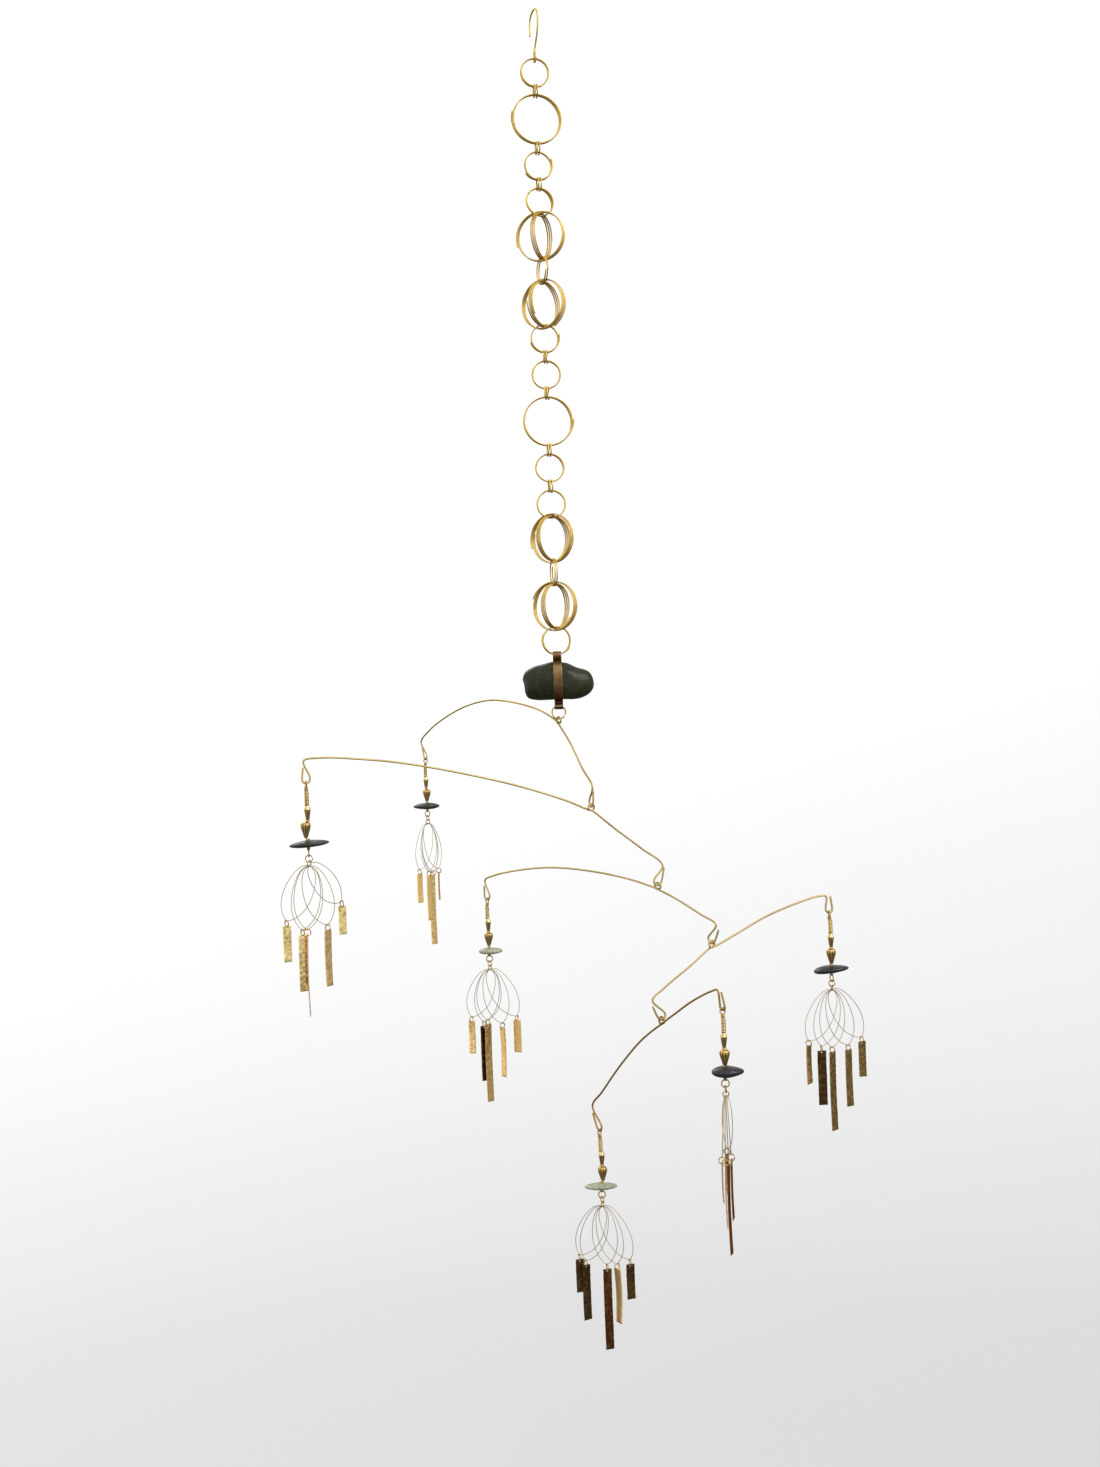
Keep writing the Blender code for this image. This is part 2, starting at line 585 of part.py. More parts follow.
def add_strip(bm, foot, length, yaw):
    """A flat strip and, above it, the slim neck that stands for its jump ring on the hoop's foot."""
    half, neck, above = 0.5 * STRIP_WIDE, 0.45 * MM, 0.3 * MM
    top = above - JUMP_RING
    outline = [(-half, top), (-neck, top), (-neck, above), (neck, above), (neck, top), (half, top),
               (half, top - length), (-half, top - length)]
    out = direction(yaw)
    aside = 0.5 * STRIP_THICK * side_of(yaw)
    front = [bm.verts.new(foot + x * out + Vector((0.0, 0.0, z)) - aside) for x, z in outline]
    back = [bm.verts.new(vert.co + 2 * aside) for vert in front]
    bm.faces.new(front)
    bm.faces.new(back[::-1])
    for k in range(len(front)):
        n = (k + 1) % len(front)
        bm.faces.new((front[k], back[k], back[n], front[n]))


def make_fringe(name, bearing, spec):
    """Gather ring, five hoops, five jump rings and five strips, fused into one piece."""
    fan = spec["fan"]
    wire = 0.5 * FINE_RING_WIRE
    gather = bearing - Vector((0.0, 0.0, GATHER_RADIUS - wire - GAP))
    ring, hoops, strips = bmesh.new(), bmesh.new(), bmesh.new()
    add_tube(ring, ring_path(gather, GATHER_RADIUS, fan + 90.0, 6), wire, 3, True, side_of(fan + 90.0))
    for i, (swing, reach, yaw, length) in enumerate(spec["fringe"]):
        turned = spec["last_turn"] if i == 4 else 0.0
        path = hoop_path(gather, fan, turned, swing, reach * MM, i - 2)
        add_tube(hoops, path, 0.5 * HOOP_WIRE, 3, True)
        add_strip(strips, path[0], length * MM, yaw)
    fringe = new_object(name + "_fringe", ring, "dark_brass")
    fuse(fringe, hoops, name + "_fringe_hoops")
    fuse(fringe, strips, name + "_fringe_strips")


def make_pendant(letter, spec, top):
    """One whole pendant whose eye has its inner top at that point."""
    name = "pendant_" + letter
    make_stone(name, top, spec, STONE_COLOURS[letter])
    loop = make_stem(name, top, spec)
    link = make_link(name, loop, spec["fan"] + 10.0)
    make_fringe(name, link, spec)


def main():
    clear_scene()
    bearing = make_chain(make_hook())
    ring_bottom = make_strapped_pebble(bearing)
    hooks = {}
    hooks["arm_1"] = make_arm("arm_1", ARMS["arm_1"], Vector((FIRST_ARM_OFFSET, 0.0, ring_bottom + GAP)))
    for name, holder, end in HELD_ARMS:
        hooks[name] = make_arm(name, ARMS[name], hooks[holder][end] + Vector((0.0, 0.0, SEAT)))
    for letter, spec in PENDANTS.items():
        make_pendant(letter, spec, hooks[spec["arm"]][spec["end"]] + Vector((0.0, 0.0, GAP)))


main()
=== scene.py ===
"""Hanging mobile: every piece in full detail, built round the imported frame.

Metres, +Z up, in the row frame: +X to the right across the front, +Y away from the front. Sizes and wire
routes repeat the CAD source, and anchors come from the frame's boxes. A yaw is counted from +X about +Z.
"""

import math

import bmesh
import bpy
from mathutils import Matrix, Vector, noise


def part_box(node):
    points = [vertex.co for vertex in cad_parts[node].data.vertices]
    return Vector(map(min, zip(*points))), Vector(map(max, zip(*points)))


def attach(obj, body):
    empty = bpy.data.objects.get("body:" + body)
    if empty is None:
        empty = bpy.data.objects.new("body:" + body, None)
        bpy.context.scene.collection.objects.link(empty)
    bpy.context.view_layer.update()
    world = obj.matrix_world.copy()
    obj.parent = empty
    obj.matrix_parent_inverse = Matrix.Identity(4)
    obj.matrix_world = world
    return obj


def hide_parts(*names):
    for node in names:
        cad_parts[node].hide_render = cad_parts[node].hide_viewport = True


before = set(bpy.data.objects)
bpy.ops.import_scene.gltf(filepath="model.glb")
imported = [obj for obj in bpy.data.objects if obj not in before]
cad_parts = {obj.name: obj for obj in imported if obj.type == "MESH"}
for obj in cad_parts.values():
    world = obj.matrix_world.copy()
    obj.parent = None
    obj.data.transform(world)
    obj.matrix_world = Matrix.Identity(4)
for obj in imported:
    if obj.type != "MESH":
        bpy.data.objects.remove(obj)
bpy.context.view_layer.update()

MM = 0.001
UP = Vector((0.0, 0.0, 1.0))
GAP = 0.3 * MM  # between pieces that bear one another
SEAT = 0.6 * MM  # between an arm and the hook that it hangs from
# How far a wire's cut end is worn round, and its thickness there, as shares of its radius
WORN_END = ((0.0, 1.0), (0.2, 0.88), (0.45, 0.55))

# Camera
CAMERA_PLACE = (-0.0074, -1.2, -0.535)
CAMERA_TURN = (90.0, 2.2, 0.0)
CAMERA_LENS = 39.79

# Paper floor and wall: height, and how bright the paper is there
FLOOR_HEIGHT = -1.9
FLOOR_BEND_MIDDLE = (2.2, 0.75)
FLOOR_BEND = 2.6
FLOOR_GLOW = 1.2
FLOOR_SHADE = ((-1.9, 0.73), (-1.83, 0.76), (-1.76, 0.81), (-1.64, 0.85), (-1.49, 0.9), (-1.3, 0.94),
               (-1.07, 0.97), (-0.76, 1.02), (-0.4, 1.08), (0.0, 1.2))

# Brightness of the sky from straight below to straight above, and from behind to the front
SKY_HEIGHT = ((0.0, 0.18), (0.34, 0.34), (0.5, 0.78), (0.68, 1.0), (1.0, 1.0))
SKY_FRONT = ((0.0, 0.42), (0.32, 0.52), (0.52, 0.95), (1.0, 1.0))
SKY_GLOW = 1.15
# Lamps: place, what they aim at, size and power
LAMPS = {
    "key": ((1.7, -1.3, 0.9), (0.0, 0.0, -0.5), 1.8, 34.0),
    "back": ((-1.3, 1.9, 0.9), (0.0, 0.0, -0.6), 1.8, 22.0),
    "left": ((-2.1, 0.3, -0.7), (0.0, 0.0, -0.7), 1.4, 5.0),
}

# Hanging hook
HOOK_WIRE = 1.5 * MM
CROOK_INNER = 7.2 * MM
HOOK_HEADING = 109.0
HOOK_LEAN = 1.1 * MM  # how far its shank stands out of the plane of its tip
HOOK_TIP_DROP = 8.8 * MM
EYE_RADIUS = 3.2 * MM
EYE_DROP = 34.7 * MM
# Points (out, up) of its shank, and of the end that closes the eye (mm)
HOOK_SHANK = ((-7.2, -14.5), (-4.2, -20.5), (-0.6, -25.5), (2.2, -30.0))
EYE_END = (-1.5, -28.2)

# Chain rings of round wire
CHAIN_WIRE = 1.15 * MM
# Turns of wire, spacing of the turns (mm), and how far the outer turns stray to each side (mm)
WINDINGS = {"small": (2.5, 1.15, 0.35), "jump": (2.0, 1.9, 0.0), "joiner": (2.0, 1.5, 0.1),
            "large": (3.1, 1.2, 0.8), "cage": (3.1, 1.25, 0.7)}
STEP_OVER = 0.28  # share of a turn over which the wire steps to the next one
# Ring, its yaw, and where on the ring its winding starts, in degrees from its top
RINGS = (
    ("small_1", 12, 150), ("jump_1", 98, 140), ("large_1", 15, 252),
    ("jump_2", 100, 140), ("small_2", 12, 60), ("jump_3", 102, 140),
    ("small_3", 23, 300), ("cage_1_outer", -18, 250), ("cage_1_inner", 66, 130),
    ("joiner_1", -71, 100), ("cage_2_outer", -36, 120), ("cage_2_inner", 53, 235),
    ("small_4", 8, 75), ("jump_4", 84, 140), ("small_5", 8, 235),
    ("jump_5", 82, 140), ("large_2", 6, 88), ("jump_6", 96, 140),
    ("small_6", 10, 280), ("jump_7", 98, 140), ("small_7", 6, 250),
    ("cage_3_outer", -36, 250), ("cage_3_inner", 48, 140), ("joiner_2", 100, 60),
    ("cage_4_outer", -31, 290), ("cage_4_inner", 55, 118), ("small_8", 8, 120),
)

# Strapped pebble
PEBBLE_ENDS = (-26.3 * MM, 26.6 * MM)
PEBBLE_HALF_DEPTH = 12.0 * MM
PEBBLE_TOP = ((-26.3, 2.0), (-24.3, 7.4), (-18.0, 11.1), (-11.0, 12.7), (-4.0, 14.2),
              (6.0, 13.4), (13.7, 9.9), (22.5, 6.5), (25.6, 2.2), (26.6, -2.5))
PEBBLE_BOTTOM = ((-26.3, 2.0), (-25.2, -2.5), (-24.6, -7.5), (-22.5, -11.8), (-17.0, -13.5),
                 (0.0, -13.7), (16.0, -13.5), (23.0, -10.0), (25.9, -6.0), (26.6, -2.5))
PEBBLE_ROUND = 2.3
PEBBLE_WAVES = 0.35 * MM
PEBBLE_GRAIN = 0.07 * MM
STRAP_WIDE = 6.35 * MM
STRAP_THICK = 0.6 * MM
UPPER_NECK = 2.4 * MM
CREASE_BEYOND_ROLL = 1.2 * MM
# Half-width of the painted shade along each crease
CREASE_SHADE_HALF = 0.7 * MM
WORN_BAND_HALF = 2.4 * MM
UPPER_ROLL = 2.4 * MM
LOWER_ROLL = 1.7 * MM
STRAP_RING_WIRE = 1.1 * MM
STRAP_RING_YAW = -4.0

# Arms
ARM_WIRE = 1.4 * MM
LOOP_RADIUS = 2.3 * MM
LOOP_ASIDE = 0.9 * MM
HOOK_BEND = 2.7
HOOK_BELOW = 0.7
HOOK_SIDE = 3.6
# Heading of each arm, then its long and its short end, in mm out from and above the arm's bearing point: the
# hook's bearing point; the hook's tip and corner, as seen from that; and the bends on the way there
ARMS = {
    "arm_1": (
        117,
        ((258.8, -29.6), (5.8, 10.2), (8.4, 14.8),
         ((24.0, 4.8), (65.0, 12.6), (118.0, 17.2), (165.0, 14.2), (210.0, 6.0), (248.3, -5.0))),
        ((45.7, -64.2), (3.6, 10.7), (2.6, 13.5), ((16.0, -18.0), (34.8, -38.0))),
    ),
    "arm_2": (
        -161.4,
        ((204.0, 25.7), (1.8, 9.8), (1.2, 14.4),
         ((21.2, 5.0), (64.0, 19.0), (132.0, 34.9), (168.0, 39.9), (194.0, 41.7))),
        ((48.8, -60.0), (5.5, 11.9), (4.4, 13.4), ((17.2, -17.7), (36.8, -32.9))),
    ),
    "arm_3": (
        137.7,
        ((174.2, -18.1), (3.0, 10.0), (1.8, 14.6),
         ((22.0, 1.4), (55.8, 6.4), (102.0, 8.8), (138.0, 5.8), (165.0, 0.9))),
        ((46.6, -40.0), (6.4, 9.0), (4.4, 12.6), ((15.0, -9.9), (37.8, -20.6))),
    ),
    "arm_4": (
        19.6,
        ((94.4, 14.2), (1.4, 11.2), (-2.0, 11.2), ((19.2, 3.8), (43.0, 14.4), (70.0, 22.6), (86.0, 26.0))),
        ((40.5, -50.6), (6.4, 9.2), (6.4, 13.4), ((17.8, -16.1), (38.0, -29.6))),
    ),
    "arm_5": (
        -56.5,
        ((67.2, 14.3), (-0.6, 10.9), (-4.6, 11.9), ((12.8, 3.3), (34.0, 15.2), (56.0, 24.8))),
        ((81.2, -93.0), (7.6, 11.0), (8.0, 16.2), ((23.2, -17.9), (50.0, -39.4), (76.5, -64.5))),
    ),
}
FIRST_ARM_OFFSET = -0.6 * MM

# Pendant stems, distances below the top of the wire eye
EYE_WIRE = 0.9 * MM
HELIX_STEPS = 18  # for each turn
COIL_RADIUS = 1.0 * MM
COIL_WIRE = 1.16 * MM
COIL_TURNS = 10.4
COIL_SPAN = (5.9 * MM, 15.9 * MM)
# Beads of a stem: the axis they stand on, finish, sides, flutes and how deep these are, then the profile:
# distance below the top of the eye, radius (mm) and share of the fluting
BEADS = {
    "cap": ("cone", "cap", 40, 0, 0.0,
            ((15.9, 0.9, 0), (16.0, 1.3, 0), (16.3, 1.5, 0), (16.9, 1.56, 0), (17.5, 1.72, 0),
             (18.0, 1.98, 0), (18.4, 2.18, 0), (18.7, 2.24, 0), (18.95, 2.22, 0), (19.1, 2.0, 0))),
    "cone": ("cone", "cone", 66, 10, 0.1,
             ((18.9, 1.0, 0), (19.0, 2.05, 0.6), (19.5, 2.08, 1), (21.4, 1.85, 1), (23.4, 1.56, 1),
              (25.0, 1.32, 1), (25.8, 1.18, 0), (25.9, 0.6, 0))),
    "collar": ("cone", "coil", 40, 0, 0.0,
               ((25.8, 0.8, 0), (25.9, 1.25, 0), (26.1, 1.5, 0), (26.35, 1.5, 0), (26.5, 1.2, 0.8),
                (26.65, 1.5, 0), (26.9, 1.62, 0), (27.1, 1.4, 0), (27.2, 0.8, 0))),
    "drop": ("drop", "bead", 66, 11, 0.13,
             ((27.1, 0.8, 0), (27.2, 1.6, 0), (27.45, 2.25, 0), (27.9, 2.85, 0.2), (28.6, 3.3, 0.7),
              (29.5, 3.5, 1), (30.5, 3.42, 1), (31.8, 3.08, 1), (33.4, 2.58, 1), (35.0, 2.08, 1),
              (36.5, 1.62, 1), (37.4, 1.35, 0.6), (37.8, 1.2, 0), (37.95, 0.7, 0))),
}
STEM_EYE = 1.7 * MM
STEM_EYE_STRETCH = 1.25
STONE_CENTRE = 41.9 * MM
PIN_BELOW_STONE = 1.2 * MM
LOWER_LOOP = 2.55 * MM
LINK_RADIUS = 2.35 * MM
GATHER_RADIUS = 1.95 * MM
FINE_RING_WIRE = 0.8 * MM

# Fringe
HOOP_WIRE = 0.5 * MM
HOOP_WIDE = 21.4 * MM
# Outline of a hoop: share of its reach, and share of its half-width there
HOOP_SHAPE = ((0.0, 0.0), (0.015, 0.22), (0.07, 0.47), (0.18, 0.69), (0.33, 0.84), (0.48, 0.9), (0.62, 0.87),
              (0.75, 0.75), (0.85, 0.56), (0.93, 0.33), (1.0, 0.0))
HOOP_STEP = 0.62 * MM
HOOP_LEAN = 1.5 * MM
STRIP_WIDE = 6.35 * MM
STRIP_THICK = 0.8 * MM
CAD_STRIP_DROP = 4.4 * MM  # from a hoop's foot to the top of the strip in the solids
JUMP_WIRE = 0.85 * MM
JUMP_RADIUS = 2.2 * MM
HOLE_RADIUS = 0.72 * MM
STRIP_COLUMNS = 18
HOLE_ROW = 3
HOLE_DROP = HOLE_ROW * STRIP_WIDE / STRIP_COLUMNS  # from a strip's top edge to the middle of its hole
STRIP_ROW = 0.55 * MM
STRIP_RIM = 0.7 * MM  # how far in it is worn thin
STRIP_WAVES = 0.16 * MM  # of its long edges
STRIP_STRAY = 0.25 * MM  # of its foot from straight
HAMMER_CELL = 2.3 * MM
HAMMER_DEPTH = 0.08 * MM
BRIGHT_HAMMER_DEPTH = 0.17 * MM

# What holds each pendant; yaw of its eye, and of its lower loop, link and gather ring; length, breadth,
# thickness, offset (mm) and tilt of its stone; how far its coil, cone and drop stand aside (mm); yaw of its
# fan of hoops, and how far the last hoop is turned from that
PENDANTS = {
    "a": (("arm_2", "long"), 108, (100, 8, 60), (27.0, 20.0, 5.6, 0.5, 3), (0.0, 0.2, -1.4), 12, 41),
    "b": (("arm_1", "long"), 27, (42, 120, 30), (23.2, 17.0, 6.6, -0.6, 0), (-0.5, -0.3, 0.0), 49, 0),
    "c": (("arm_3", "long"), 45, (20, 130, 60), (18.8, 15.0, 5.3, 1.2, 0), (-0.4, 0.0, 0.0), 4, 0),
    "d": (("arm_4", "long"), 97, (110, 20, 70), (25.2, 17.0, 6.0, 0.0, 3), (0.5, 0.5, 0.3), 12, 0),
    "e": (("arm_5", "long"), 4, (4, 95, 0), (21.6, 17.0, 8.4, 1.9, 0), (0.2, 0.1, 0.2), -95, 20),
    "f": (("arm_5", "short"), 42, (5, 118, 65), (24.4, 13.0, 5.2, -0.5, 0), (0.3, 0.9, 1.1), -20, 0),
}
# Each hoop: the swing and reach (mm) of its foot, then its strip's yaw, length (mm), finish, bow and twist
FRINGES = {
    "a": ((-24.8, 39.8, 40, 22.9, "gold", 0.0, 4), (-8.3, 43.2, 38, 36.6, "gold", 0.3, -5),
          (-3.8, 42.9, 98, 53.8, "rose", 0.6, 0), (15.1, 42.3, 53, 36.7, "tan", 0.4, 4),
          (47.4, 41.0, 42, 18.4, "gold", 0.0, 0)),
    "b": ((-22.6, 43.0, 48, 24.0, "pale", 0.3, 0), (-4.2, 42.4, 50, 37.9, "pale", 0.3, 3),
          (3.6, 43.8, 42, 58.2, "tan", 0.5, 0), (8.2, 43.2, 78, 43.0, "cream", 0.5, 0),
          (20.4, 44.2, 84, 23.2, "pale", 0.3, 0)),
    "c": ((-23.8, 40.1, -36, 24.3, "tan", 0.2, 0), (-8.8, 41.6, 30, 42.4, "split", 0.4, 0),
          (-4.6, 39.9, 40, 60.1, "bronze", 0.4, 2), (10.7, 44.4, -50, 38.1, "pale", 0.6, -4),
          (27.3, 44.0, -25, 24.4, "pale", 0.2, 0)),
    "d": ((-31.0, 40.9, 50, 26.1, "bronze", 0.4, -3), (-15.0, 41.0, 4, 37.8, "dark", 0.2, 0),
          (-2.2, 41.5, 39, 55.4, "olive", 0.5, 0), (15.7, 43.0, 36, 39.7, "olive", 0.3, -3),
          (32.1, 43.6, 26, 24.3, "olive", 0.2, 0)),
    "e": ((30.0, 41.0, 88, 24.5, "rose", 0.2, 0), (12.0, 41.0, 86, 40.0, "rose", 0.4, 0),
          (5.0, 41.5, 70, 57.5, "copper", 0.6, 0), (-8.0, 40.5, 75, 38.5, "copper", 0.3, 0),
          (-20.0, 41.0, 68, 25.0, "bronze", 0.2, 0)),
    "f": ((-26.2, 40.4, 20, 23.0, "dark", 0.2, 0), (-18.8, 42.7, 25, 39.3, "dark", 0.3, 0),
          (2.6, 43.0, 14, 57.8, "russet", 0.5, 4), (11.8, 43.8, -48, 38.7, "pale", 1.0, -6),
          (24.9, 44.0, 18, 24.3, "dark", 0.2, 0)),
}
# Where each hoop is threaded on the gather ring, from its near end, where not simply in turn
THREADED = {"c": (1, 3, 2, 4, 5)}
# How each stone departs from an even oval: thickness and pointing of its left and right ends, how far the
# left end hangs, how sharp its rim is and its roughness. Then its finish.
STONES = {
    "a": ((0.85, 0.8), (0.35, 0.2), 0.5, 0.9, 0.3, "slate_stone"),
    "b": ((0.9, 0.95), (0.7, 0.6), 0.2, 1.2, 0.35, "slate_stone"),
    "c": ((0.95, 0.95), (0.1, 0.2), 0.2, 0.8, 0.2, "pale_green_stone"),
    "d": ((1.1, 0.7), (0.1, 0.3), 0.9, 0.8, 0.2, "black_stone"),
    "e": ((0.9, 0.8), (0.1, 0.6), 0.0, 1.0, 0.15, "black_stone"),
    "f": ((0.85, 0.85), (0.4, 0.3), 0.1, 0.95, 0.15, "pale_green_stone"),
}
# Painted shading along a strip: how far a strip darkens from its top to its foot; below 0 it brightens
STRIP_PAINTED_SHADING = {"pendant_a_strip_1": -0.5, "pendant_a_strip_2": 0.9, "pendant_a_strip_5": -0.4,
              "pendant_b_strip_3": 0.3, "pendant_c_strip_3": -0.5, "pendant_f_strip_3": 0.4}
# Slot of the strips of each finish, then their light and deep colour, the roughness of both, the scale of the
# clouds, how much stays light, and how strongly it is streaked along and woven across
STRIP_FINISHES = {
    "gold": ("bright_strips", (1.0, 0.78, 0.36), (0.44, 0.3, 0.1), 0.2, 0.34, 110, 0.72),
    "tan": ("pale_strips", (0.98, 0.7, 0.34), (0.64, 0.42, 0.16), 0.28, 0.42, 60, 0.68, 0.25),
    "pale": ("pale_strips", (0.98, 0.66, 0.27), (0.84, 0.54, 0.2), 0.36, 0.46, 50, 0.7),
    "cream": ("pale_strips", (1.0, 0.8, 0.46), (0.9, 0.66, 0.34), 0.32, 0.44, 50, 0.72),
    "rose": ("pale_strips", (0.8, 0.56, 0.38), (0.6, 0.38, 0.23), 0.34, 0.44, 50, 0.72),
    "bronze": ("bright_strips", (0.62, 0.41, 0.16), (0.34, 0.21, 0.07), 0.3, 0.42, 90, 0.64),
    "olive": ("olive_strips", (0.3, 0.205, 0.075), (0.16, 0.105, 0.036), 0.36, 0.48, 130, 0.6, 0.0, 1.2),
    "dark": ("dark_strips", (0.13, 0.077, 0.03), (0.058, 0.031, 0.012), 0.34, 0.48, 100, 0.54),
    "split": ("dark_strips", (0.34, 0.17, 0.06), (0.07, 0.036, 0.014), 0.34, 0.48, 60, 0.56, 0.3),
    "copper": ("dark_strips", (0.42, 0.2, 0.075), (0.22, 0.095, 0.03), 0.34, 0.48, 80, 0.6),
    "russet": ("dark_strips", (0.19, 0.08, 0.028), (0.075, 0.03, 0.01), 0.34, 0.48, 80, 0.54),
}


# ------ materials

def place_coordinates(tree, stretch=(1.0, 1.0, 1.0)):
    """The surface's own coordinates, stretched along each axis."""
    coords = tree.nodes.new("ShaderNodeTexCoord")
    mapping = tree.nodes.new("ShaderNodeMapping")
    mapping.inputs["Scale"].default_value = stretch
    tree.links.new(coords.outputs["Object"], mapping.inputs["Vector"])
    return mapping.outputs["Vector"]


def new_finish(name, metal=1.0):
    """A new material, its nodes, its shader and the surface's own coordinates."""
    mat = bpy.data.materials.new(name)
    mat.use_nodes = True
    tree = mat.node_tree
    shader = tree.nodes["Principled BSDF"]
    shader.inputs["Metallic"].default_value = metal
    return mat, tree, shader, place_coordinates(tree)


def parted(tree, kind):
    """The X, Y and Z of that kind of coordinates."""
    coords = tree.nodes.new("ShaderNodeTexCoord")
    split = tree.nodes.new("ShaderNodeSeparateXYZ")
    tree.links.new(coords.outputs[kind], split.inputs["Vector"])
    return split.outputs


def grain(tree, vector, scale, detail=3.0, roughness=0.5, distortion=0.0):
    """Noise of that scale, as a factor."""
    node = tree.nodes.new("ShaderNodeTexNoise")
    node.inputs["Scale"].default_value = scale
    node.inputs["Detail"].default_value = detail
    node.inputs["Roughness"].default_value = roughness
    node.inputs["Distortion"].default_value = distortion
    tree.links.new(vector, node.inputs["Vector"])
    return node.outputs["Fac"]


def ramp(tree, factor, stops):
    """A colour ramp of (place, colour or grey) stops."""
    node = tree.nodes.new("ShaderNodeValToRGB")
    elements = node.color_ramp.elements
    while len(elements) < len(stops):
        elements.new(0.5)
    for element, (place, colour) in zip(elements, stops):
        element.position = place
        element.color = (*colour, 1.0) if isinstance(colour, tuple) else (colour, colour, colour, 1.0)
    tree.links.new(factor, node.inputs["Fac"])
    return node.outputs["Color"]


def feed(tree, value, socket):
    """Gives a socket its value: another node's output, a colour or a number."""
    if isinstance(value, bpy.types.NodeSocket):
        tree.links.new(value, socket)
    else:
        socket.default_value = (*value, 1.0) if isinstance(value, tuple) else value


def mixed(tree, factor, first, second, blend="MIX"):
    """Two colours mixed by a factor."""
    node = tree.nodes.new("ShaderNodeMix")
    node.data_type = "RGBA"
    node.blend_type = blend
    for index, value in ((0, factor), (6, first), (7, second)):
        feed(tree, value, node.inputs[index])
    return node.outputs[2]


def maths(tree, operation, first, second=0.0):
    """Arithmetic on factors."""
    node = tree.nodes.new("ShaderNodeMath")
    node.operation = operation
    feed(tree, first, node.inputs[0])
    feed(tree, second, node.inputs[1])
    return node.outputs[0]


def plus(tree, base, factor, weight):
    """A factor added to another, in that weight."""
    return maths(tree, "ADD", base, maths(tree, "MULTIPLY", factor, weight))


def attribute(tree, name):
    """A mesh attribute as a factor."""
    node = tree.nodes.new("ShaderNodeAttribute")
    node.attribute_name = name
    return node.outputs["Fac"]


def surface(tree, shader, colour, roughness):
    tree.links.new(colour, shader.inputs["Base Color"])
    tree.links.new(roughness, shader.inputs["Roughness"])


def bump(tree, shader, height, strength, distance):
    node = tree.nodes.new("ShaderNodeBump")
    node.inputs["Strength"].default_value = strength
    node.inputs["Distance"].default_value = distance
    tree.links.new(height, node.inputs["Height"])
    tree.links.new(node.outputs["Normal"], shader.inputs["Normal"])


def wire_finish(name, bright, tarnish, low, high, patch=60.0):
    """Drawn brass wire: tarnish in soft patches, a satin surface and an uneven polish."""
    mat, tree, shader, vector = new_finish(name)
    patches = grain(tree, vector, patch, 2.0, 0.45)
    small = grain(tree, vector, 3.0 * patch, 1.0, 0.4)
    blend = plus(tree, maths(tree, "MULTIPLY", patches, 0.8), small, 0.2)
    colour = ramp(tree, blend, ((0.34, tarnish), (0.6, bright)))
    surface(tree, shader, colour, ramp(tree, small, ((0.3, low), (0.7, high))))
    shader.inputs["Specular Tint"].default_value = (*bright, 1.0)  # so that its edges stay warm
    bump(tree, shader, small, 0.05, 0.00005)
    return mat


def bead_finish(name, bright, hollow_colour, low, high):
    """Antiqued brass bead: bright where rubbed, dark in its grooves."""
    mat, tree, shader, vector = new_finish(name)
    patches = grain(tree, vector, 220.0, 4.0, 0.6)
    dull = tuple(0.72 * c for c in bright)
    rubbed = mixed(tree, ramp(tree, patches, ((0.35, 0.0), (0.65, 1.0))), dull, bright)
    depth = ramp(tree, plus(tree, attribute(tree, "patina_and_shade"), patches, 0.25), ((0.25, 0.0), (0.95, 1.0)))
    colour = mixed(tree, depth, rubbed, hollow_colour)
    surface(tree, shader, colour, ramp(tree, depth, ((0.0, low), (1.0, high))))
    bump(tree, shader, grain(tree, vector, 1600.0, 2.0), 0.3, 0.0001)
    return mat


def strip_finish(name, light, deep, low, high, patch, cover, streak=0.0, weave=0.0):
    """Hammered strip metal: patina in clouds and in the dents, rubbed brighter on the crests and edges. The
    same mesh layer as the dents also brings painted shade, in the strap's creases and towards its foot, and
    painted shading along some strips towards their foot. cover is how much of it stays light."""
    mat, tree, shader, vector = new_finish(name)
    clouds = grain(tree, vector, patch, 5.0, 0.62, 0.4)
    fine = grain(tree, vector, 700.0, 3.0, 0.6)
    # Darker where patina lies in clouds and dents, and where the mesh layer holds painted shade
    wear_and_shade = plus(tree, maths(tree, "MULTIPLY", clouds, 0.75), attribute(tree, "patina_and_shade"), 0.42)
    wear_and_shade = plus(tree, wear_and_shade, fine, 0.12)
    if streak:
        brushed = grain(tree, place_coordinates(tree, (1.0, 1.0, 0.06)), 1500.0, 2.0)
        wear_and_shade = plus(tree, wear_and_shade, brushed, streak)
    colour = ramp(tree, wear_and_shade, ((cover - 0.16, light), (cover + 0.16, deep)))
    rim = ramp(tree, attribute(tree, "rim"), ((0.35, 0.0), (1.0, 0.55)))
    rubbed = mixed(tree, rim, colour, tuple(min(1.0, 1.25 * c) for c in light))
    surface(tree, shader, rubbed, ramp(tree, wear_and_shade, ((cover - 0.2, low), (cover + 0.2, high))))
    height = plus(tree, fine, clouds, 0.6)
    if weave:
        across = place_coordinates(tree, (0.15, 0.15, 1.0))
        height = plus(tree, height, grain(tree, across, 1100.0, 2.0), weave)
    shader.inputs["Specular Tint"].default_value = (*light, 1.0)
    bump(tree, shader, height, 0.45, 0.0002)
    return mat


